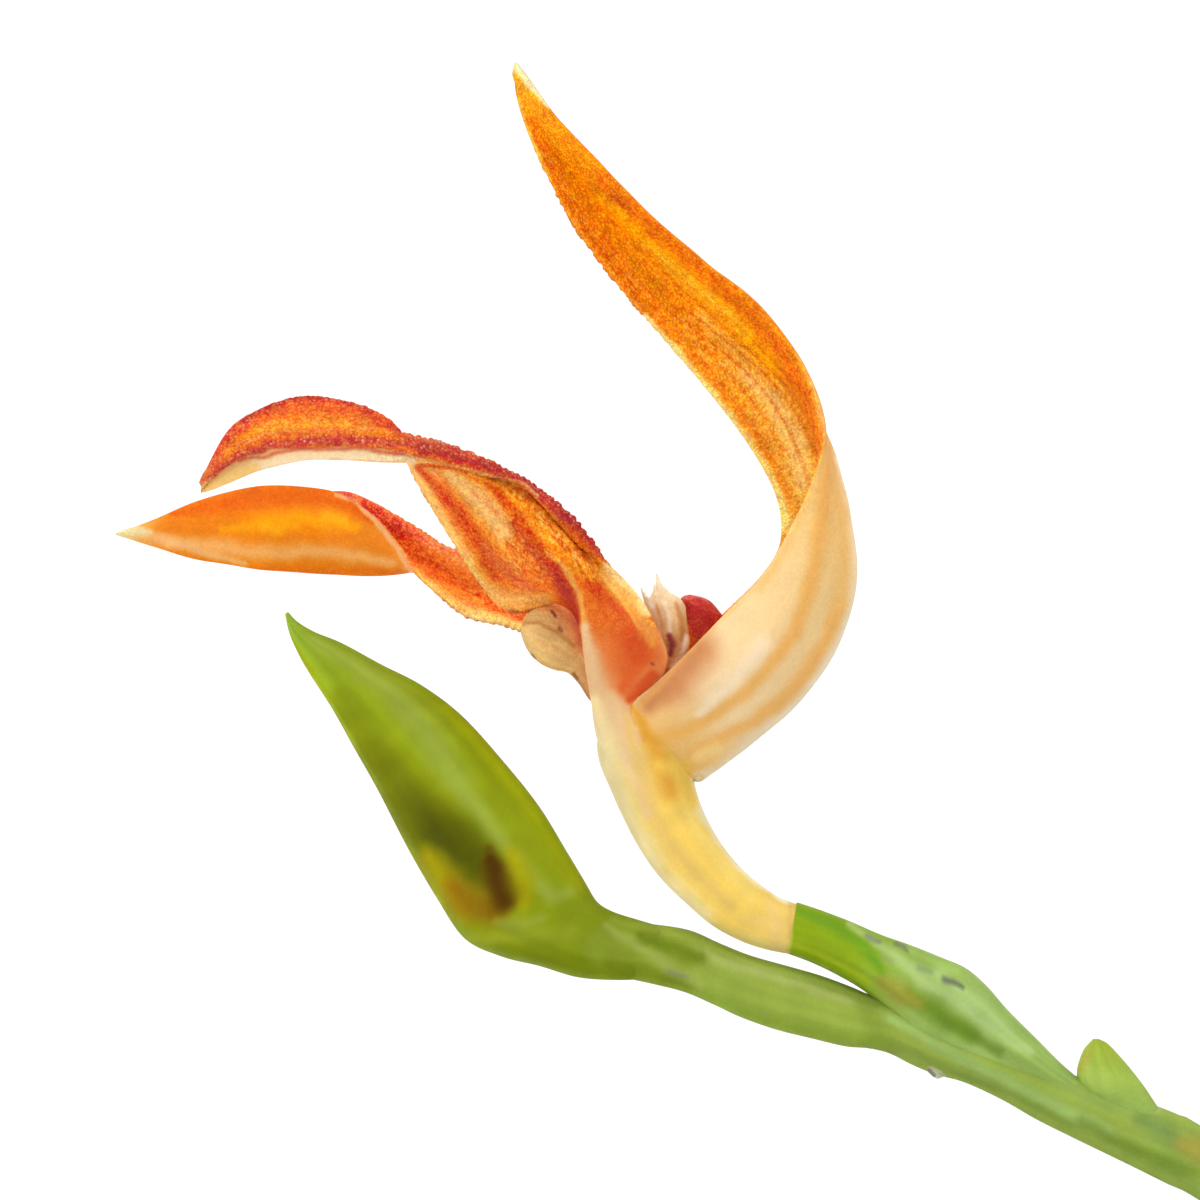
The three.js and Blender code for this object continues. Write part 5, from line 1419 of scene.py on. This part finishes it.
def makePaperySheath():
    material, tree, surface, output = newMaterial("paperySheath")
    streaks = noiseAt(tree, inMm(tree, paperyLook["stretch"]), paperyLook["scale"], 5, 0.7)
    colour = mixColour(tree, spread(tree, streaks, 0.3, 0.7), paperyLook["dark"], paperyLook["pale"])
    dress(tree, surface, colour, paperyLook["roughness"], paperyLook["specular"],
          streaks, paperyLook["bump"], paperyLook["bumpDepth"])
    return material


leafSkin = makeLeafSkin()
paperySheath = makePaperySheath()


def sheathOnStem(leaf, low, high, radius):
    # a dry sheath round the short stem, its mouth a little open and slanted
    rows, columns = stemSheath["rows"], stemSheath["columns"]
    frames = framesAt(leaf, np.linspace(low, high, rows))
    share, angle = np.linspace(0, 1, rows)[:, None], np.linspace(0, 2 * np.pi, columns)
    slant = stemSheath["slant"] * np.cos(angle + low)[None] * share**3
    reach = radius * (1 + stemSheath["flare"] * share**4 - stemSheath["waist"] * np.sin(np.pi * share))
    along = np.cross(frames[:, 1], frames[:, 2])
    middle = frames[:, None, 0]
    outer = middle + ringsOf(frames, angle) * reach[..., None] - slant[..., None] * along[:, None]
    inner = middle + (outer - middle) * stemSheath["lining"]
    piece = wrapSkin("stemSheath", np.concatenate([outer, inner[::-1], outer[:1]]), {})
    piece.data.materials.append(paperySheath)
    return piece


def buildLeaves():
    for number, leaf in enumerate(leaves, 1):
        stem = leaf[-1]
        piece = wrapSkin(f"leaf{number}", *leafSkinPoints(leaf))
        piece.data.materials.append(leafSkin)
        # the first leaf's stem carries the flower stalk, which leaves no room for the upper sheath
        parts = stemSheath["parts"][:1] if number == 1 else stemSheath["parts"]
        joinOnto(piece, [sheathOnStem(leaf, lift + stem * low, stem * high, radius)
                         for lift, low, high, radius in parts])
        carry(piece, f"leaf_{number}")


buildLeaves()


# pot

pot = {
    "height": 56, "baseRadius": 22.5, "rimRadius": 33, "wall": 3.5, "baseThickness": 4, "rimBand": 14,
    "rimStep": 2.2, "lipRound": 1.2, "footRound": 1, "steps": 160, "mergeDistance": 1e-6,
    "softEdge": 0.4, "softSteps": 3, "softFrom": 35, "smoothTo": 40,      # angles in degrees
    "drainRadius": 2.5, "drainOffset": 13, "drainCount": 3, "drainTurn": 0.5, "drillLength": 12,
    "clay": rgba(158, 82, 52), "paleClay": rgba(184, 112, 78), "bloom": rgba(214, 190, 168),
    "damp": rgba(110, 58, 40), "moss": rgba(84, 92, 48),
    "cloudScale": 0.07, "gritScale": 2.2, "ringScale": 0.22, "saltScale": 0.14,
    "specular": 0.2, "bump": 0.5, "bumpDepth": 0.25,
}


def potWallAt(z):
    return pot["baseRadius"] + (pot["rimRadius"] - pot["rimStep"] - pot["baseRadius"]) * z / pot["height"]


def makeClay():
    material, tree, surface, output = newMaterial("agedTerracotta")
    place = inMm(tree)
    height = addNode(tree, "SeparateXYZ", {0: place}).outputs[2]
    cloud = noiseAt(tree, place, pot["cloudScale"], 6, 0.62)
    grit = noiseAt(tree, place, pot["gritScale"], 4, 0.7)
    salts = noiseAt(tree, place, pot["saltScale"], 7, 0.7)
    rings = {"Vector": place, "Scale": pot["ringScale"], "Distortion": 1.2, "Detail": 2.0}
    rings = addNode(tree, "TexWave", rings, bands_direction="Z").outputs["Fac"]
    # damp at the foot, pale salts there and under the rim, moss at the mouth
    damp = times(tree, spread(tree, height, 0, 16, 0.55, 0.0), cloud)
    salty = mathNode(tree, "ADD", spread(tree, height, 30, 44), spread(tree, height, 0, 12, 0.7, 0.0))
    salty = times(tree, times(tree, spread(tree, salts, 0.52, 0.72), salty), 0.7)
    mossy = times(tree, times(tree, spread(tree, salts, 0.38, 0.2), spread(tree, height, 46, 54)), 0.6)
    base = mixColour(tree, spread(tree, cloud, 0.35, 0.7), pot["clay"], pot["paleClay"])
    for share, colour in ((times(tree, rings, 0.12), "paleClay"), (damp, "damp"), (salty, "bloom"),
                          (mossy, "moss")):
        base = mixColour(tree, share, base, pot[colour])
    value = spread(tree, grit, 0.25, 0.75, 0.9, 1.08)
    base = addNode(tree, "HueSaturation", {"Color": base, "Value": value}).outputs[0]
    relief = mathNode(tree, "MULTIPLY_ADD", rings, 0.7, grit)
    dress(tree, surface, base, spread(tree, grit, 0.3, 0.7, 0.78, 0.95), pot["specular"],
          relief, pot["bump"], pot["bumpDepth"])
    return material


def potProfile():
    # radius and height, from the middle of the base up the outside and down the inside
    step, lip, wall, base = pot["rimStep"], pot["lipRound"], pot["wall"], pot["baseThickness"]
    rim, top, foot, curve = pot["rimRadius"], pot["height"], pot["height"] - pot["rimBand"], pot["footRound"]
    return [
        (0, 0), (pot["baseRadius"] - curve, 0), (pot["baseRadius"], curve),
        (potWallAt(foot - lip), foot - lip), (potWallAt(foot) + step - 0.8, foot),
        (potWallAt(foot) + step, foot + 1),
        (rim, top - lip), (rim - 0.35, top - 0.35), (rim - lip, top),
        (rim - wall - 0.4, top), (rim - wall - 1.1, top - 0.4), (rim - wall - 1.4, top - lip),
        (potWallAt(base + 2) - wall, base + 2), (potWallAt(base) - wall - 2, base), (0, base),
    ]


def applyModifier(piece, kind, **settings):
    modifier = piece.modifiers.new(kind, kind)
    for name, value in settings.items():
        setattr(modifier, name, value)
    bpy.context.view_layer.objects.active = piece
    bpy.ops.object.modifier_apply(modifier=modifier.name)


def buildPot():
    bpy.ops.object.select_all(action="DESELECT")
    bpy.ops.mesh.primitive_plane_add(size=toMetres)
    piece = bpy.context.object
    piece.name = "pot"
    bpy.ops.object.mode_set(mode="EDIT")
    bpy.ops.mesh.select_all(action="SELECT")
    bpy.ops.mesh.delete(type="VERT")
    bpy.ops.object.mode_set(mode="OBJECT")
    mesh, profile = piece.data, potProfile()
    mesh.vertices.add(len(profile))
    mesh.vertices.foreach_set("co", np.array([(x, 0, z) for x, z in profile]).ravel() * toMetres)
    mesh.edges.add(len(profile) - 1)
    mesh.edges.foreach_set("vertices", np.array([(i, i + 1) for i in range(len(profile) - 1)]).ravel())
    bpy.ops.object.mode_set(mode="EDIT")
    bpy.ops.mesh.select_all(action="SELECT")
    bpy.ops.mesh.spin(steps=pot["steps"], angle=2 * math.pi, center=(0, 0, 0), axis=(0, 0, 1))
    bpy.ops.object.mode_set(mode="OBJECT")
    closeSeams(pot["mergeDistance"])
    for number in range(pot["drainCount"]):
        turn = number / pot["drainCount"] * 2 * math.pi + pot["drainTurn"]
        place = Vector((pot["drainOffset"] * math.cos(turn), pot["drainOffset"] * math.sin(turn), 0))
        bpy.ops.mesh.primitive_cylinder_add(vertices=40, radius=pot["drainRadius"] * toMetres,
                                            depth=pot["drillLength"] * toMetres, location=place * toMetres)
        drill = bpy.context.object
        applyModifier(piece, "BOOLEAN", object=drill, operation="DIFFERENCE")
        bpy.data.objects.remove(drill)
    bpy.ops.object.select_all(action="DESELECT")
    piece.select_set(True)
    applyModifier(piece, "BEVEL", width=pot["softEdge"] * toMetres, segments=pot["softSteps"],
                  limit_method="ANGLE", angle_limit=math.radians(pot["softFrom"]))
    bpy.ops.object.shade_smooth_by_angle(angle=math.radians(pot["smoothTo"]))
    piece.data.materials.append(makeClay())
    carry(piece, "pot")


buildPot()


# bark

bark = {
    "level": 49.5, "waveHeight": 0.45, "seed": 4127,
    "chipCount": 230, "tries": 9000, "spread": 24.6, "within": 26.2,
    "chipLength": (4.5, 8.5), "chipShorter": (0.6, 1), "chipWidth": (0.45, 0.8), "chipThick": (1.6, 3.2),
    "chipRise": (0.4, 1.6), "chipTilt": 0.35, "chipBevel": 0.06,
    "stemRoom": (0.8, 3.1), "rootRoom": (0.7, 0.6),      # in shares of a chip's reach, and in mm
    "rows": 60, "columns": 97, "belowChips": 0.5,
    "lumps": [(1.3, 7, 0.7), (0.5, 8, 0.3)],             # size, seed, height
    "dark": rgba(58, 36, 24), "middle": rgba(104, 68, 44), "pale": rgba(156, 112, 76),
    "moss": rgba(106, 122, 50),
    "stretch": (1, 0.35, 1.6), "roughness": 0.92, "specular": 0.15, "bump": 0.8, "bumpDepth": 0.35,
}
rootLines = [
    [(8, 2, 50), (15, 1, 51.2), (20, -3, 50.4), (23, -6, 46)],
    [(-6, 3, 50), (-13, 7, 51.4), (-18, 6, 50.6), (-22, 8, 46)],
    [(1, -5, 50), (-3, -12, 51.3), (-2, -18, 50.6), (-5, -22, 46)],
    [(7, -4, 50), (12, -10, 51.2), (17, -13, 50.2), (19, -16, 46)],
    [(3, 7, 50), (6, 14, 51.4), (4, 19, 50.5), (7, 23, 46)],
    [(-6, -2, 50), (-12, -6, 51.1), (-17, -11, 50.3), (-19, -13, 46)],
]


def barkTop(x, y):
    return bark["level"] + bark["waveHeight"] * (math.sin(x * 0.45 + 1) + math.cos(y * 0.5 + x * 0.2))


def makeBarkSkin():
    material, tree, surface, output = newMaterial("barkSkin")
    place = inMm(tree)
    lines = noiseAt(tree, inMm(tree, bark["stretch"]), 0.9, 5)
    grit = noiseAt(tree, place, 3.0, 4)
    green = noiseAt(tree, place, 0.11, 5)
    base = mixColour(tree, attributeAt(tree, "shade"), bark["dark"], bark["middle"])
    base = mixColour(tree, spread(tree, lines, 0.45, 0.75, 0.0, 0.8), base, bark["pale"])
    base = mixColour(tree, spread(tree, grit, 0.25, 0.45, 0.7, 0.0), base, bark["dark"])
    base = mixColour(tree, spread(tree, green, 0.6, 0.72, 0.0, 0.6), base, bark["moss"])
    dress(tree, surface, base, bark["roughness"], bark["specular"],
          mathNode(tree, "ADD", lines, grit), bark["bump"], bark["bumpDepth"])
    return material


def fromLine(x, y, line):
    # how far a place is from a root, seen from above
    gaps = []
    for (ax, ay, _), (bx, by, _) in zip(line[:-1], line[1:]):
        dx, dy = bx - ax, by - ay
        t = max(0, min(1, ((x - ax) * dx + (y - ay) * dy) / (dx * dx + dy * dy)))
        gaps.append(math.hypot(x - ax - t * dx, y - ay - t * dy))
    return min(gaps)


def makeChipShape():
    # one split piece of bark, a few dozen faces
    bpy.ops.object.select_all(action="DESELECT")
    bpy.ops.mesh.primitive_cube_add(size=toMetres)
    chip = bpy.context.object
    bpy.ops.object.mode_set(mode="EDIT")
    bpy.ops.mesh.select_all(action="SELECT")
    bpy.ops.mesh.subdivide(number_cuts=1, fractal=0.12, fractal_along_normal=0.4, seed=3)
    bpy.ops.mesh.bevel(offset=bark["chipBevel"] * toMetres, segments=1)
    bpy.ops.object.mode_set(mode="OBJECT")
    return chip


def placeChip(chip):
    # a copy of the chip at a random place, or nothing where a stem, a root or the pot is in its way
    length = random.uniform(*bark["chipLength"]) * random.uniform(*bark["chipShorter"])
    width = length * random.uniform(*bark["chipWidth"])
    thick = random.uniform(*bark["chipThick"])
    away, bearing = math.sqrt(random.random()) * bark["spread"], random.uniform(0, 2 * math.pi)
    x, y = away * math.cos(bearing), away * math.sin(bearing)
    reach = math.hypot(length, width) / 2
    fromStem = min(math.dist((x, y), foot) for foot in leafFeet)
    fromRoot = min(fromLine(x, y, line) for line in rootLines)
    stemShare, stemGap = bark["stemRoom"]
    rootShare, rootGap = bark["rootRoom"]
    if (away + reach * 0.92 > bark["within"] or fromStem < reach * stemShare + stemGap
            or fromRoot < reach * rootShare + rootGap):
        return None
    level = barkTop(x, y) + random.uniform(*bark["chipRise"]) - thick / 2
    copy = chip.copy()
    copy.data = chip.data.copy()
    bpy.context.scene.collection.objects.link(copy)
    turn = Matrix.Rotation(random.uniform(0, math.pi), 4, "Z")
    for axis in "XY":
        turn = turn @ Matrix.Rotation(random.uniform(-bark["chipTilt"], bark["chipTilt"]), 4, axis)
    place = Matrix.Translation(Vector((x, y, level)) * toMetres)
    copy.data.transform(place @ turn @ Matrix.Diagonal((length, width, thick, 1)))
    shade = copy.data.attributes.new("shade", "FLOAT", "POINT")
    shade.data.foreach_set("value", [random.uniform(0, 1)] * len(copy.data.vertices))
    return copy


def barkFill():
    # what the chips lie on: out over the base, up the wall, and back to the middle
    rows, level, foot = bark["rows"], bark["level"], pot["baseThickness"] + 0.3
    turn = np.linspace(0, 2 * np.pi, bark["columns"])
    wall = [(potWallAt(4) - 6.1, foot), (potWallAt(6) - 4.1, foot + 2.1),
            (potWallAt(level) - 4.4, level - 0.6)]
    radii = np.concatenate([[0], [r for r, _ in wall], np.linspace(wall[-1][0] - 0.3, 0, rows)])[:, None]
    levels = np.concatenate([[foot], [z for _, z in wall], np.full(rows, level)])[:, None]
    points = np.stack([radii * np.cos(turn), radii * np.sin(turn), levels * np.ones(len(turn))], -1)
    top = points[len(wall) + 1:]
    tops = np.array([[barkTop(x, y) for x, y in row[:, :2]] for row in top])
    lumps = sum(wobble(top, size, seed) * height for size, seed, height in bark["lumps"])
    top[..., 2] = tops + lumps - bark["belowChips"]
    top[:, -1] = top[:, 0]
    top[-1] = top[-1].mean(0)
    return wrapSkin("substrate", points, {"shade": np.clip(wobble(points, 1.1, 9) * 0.5 + 0.25, 0, 1)})


def buildBark():
    random.seed(bark["seed"])
    chip = makeChipShape()
    chips = []
    for _ in range(bark["tries"]):
        if len(chips) == bark["chipCount"]:
            break
        placed = placeChip(chip)
        if placed is not None:
            chips.append(placed)
    bpy.data.objects.remove(chip)
    fill = barkFill()
    joinOnto(fill, chips)
    fill.data.materials.clear()
    fill.data.materials.append(makeBarkSkin())
    carry(fill, "substrate")


buildBark()


# crown: the creeping rhizome and its roots

crown = {
    "middle": (10, 8, 2.3), "middleAt": (1, 1), "swell": (3.1, 3.1, 2.4), "swellLift": 0.4,
    "rootRadius": 0.75, "rootTaper": (1.05, 1, 0.95, 0.85), "rootRows": 90, "rootColumns": 25,
    "rootLumps": (1.6, 0.1),      # size and height
    "root": rgba(206, 202, 184), "rootShade": rgba(158, 152, 126), "rootGreen": rgba(120, 140, 84),
    "roughness": 0.8, "specular": 0.2, "bump": 0.6, "bumpDepth": 0.12,
}


def makeRootSkin():
    material, tree, surface, output = newMaterial("rootSkin")
    place = inMm(tree)
    cloud = noiseAt(tree, place, 0.35, 5)
    fine = noiseAt(tree, place, 4.0, 4)
    base = mixColour(tree, spread(tree, fine, 0.3, 0.7), crown["rootShade"], crown["root"])
    base = mixColour(tree, spread(tree, cloud, 0.52, 0.72, 0.0, 0.75), base, crown["rootGreen"])
    dress(tree, surface, base, crown["roughness"], crown["specular"], fine, crown["bump"], crown["bumpDepth"])
    return material


def rhizomeLump(centre, radii):
    bpy.ops.object.select_all(action="DESELECT")
    bpy.ops.mesh.primitive_ico_sphere_add(subdivisions=4, radius=1)
    lump = bpy.context.object
    where = np.zeros(len(lump.data.vertices) * 3)
    lump.data.vertices.foreach_get("co", where)
    where = where.reshape(-1, 3)
    rough = 1 + wobble(where * 3 + np.array(centre), 1.4, 6) * 0.05 - 0.02
    where = where * rough[:, None] * np.array(radii) + np.array(centre)
    lump.data.vertices.foreach_set("co", (where * toMetres).ravel())
    lump.data.materials.append(paperySheath)
    return lump


def buildRoot(line, rootSkin):
    radii = [crown["rootRadius"] * share for share in crown["rootTaper"]]
    points = tubePoints(lineFrames(line, radii, radii), crown["rootRows"], crown["rootColumns"])
    size, height = crown["rootLumps"]
    outward = unit(points - points.mean(1, keepdims=True))
    root = wrapSkin("root", points + outward * (wobble(points, size, 3) * height)[..., None], {})
    root.data.materials.append(rootSkin)
    return root


def buildCrown():
    level = bark["level"]
    piece = rhizomeLump((*crown["middleAt"], level), crown["middle"])
    piece.name = "crown"
    parts = [rhizomeLump((*foot, level + crown["swellLift"]), crown["swell"]) for foot in leafFeet]
    rootSkin = makeRootSkin()
    parts += [buildRoot(line, rootSkin) for line in rootLines]
    joinOnto(piece, parts)
    bpy.ops.object.shade_smooth()
    carry(piece, "crown")


buildCrown()
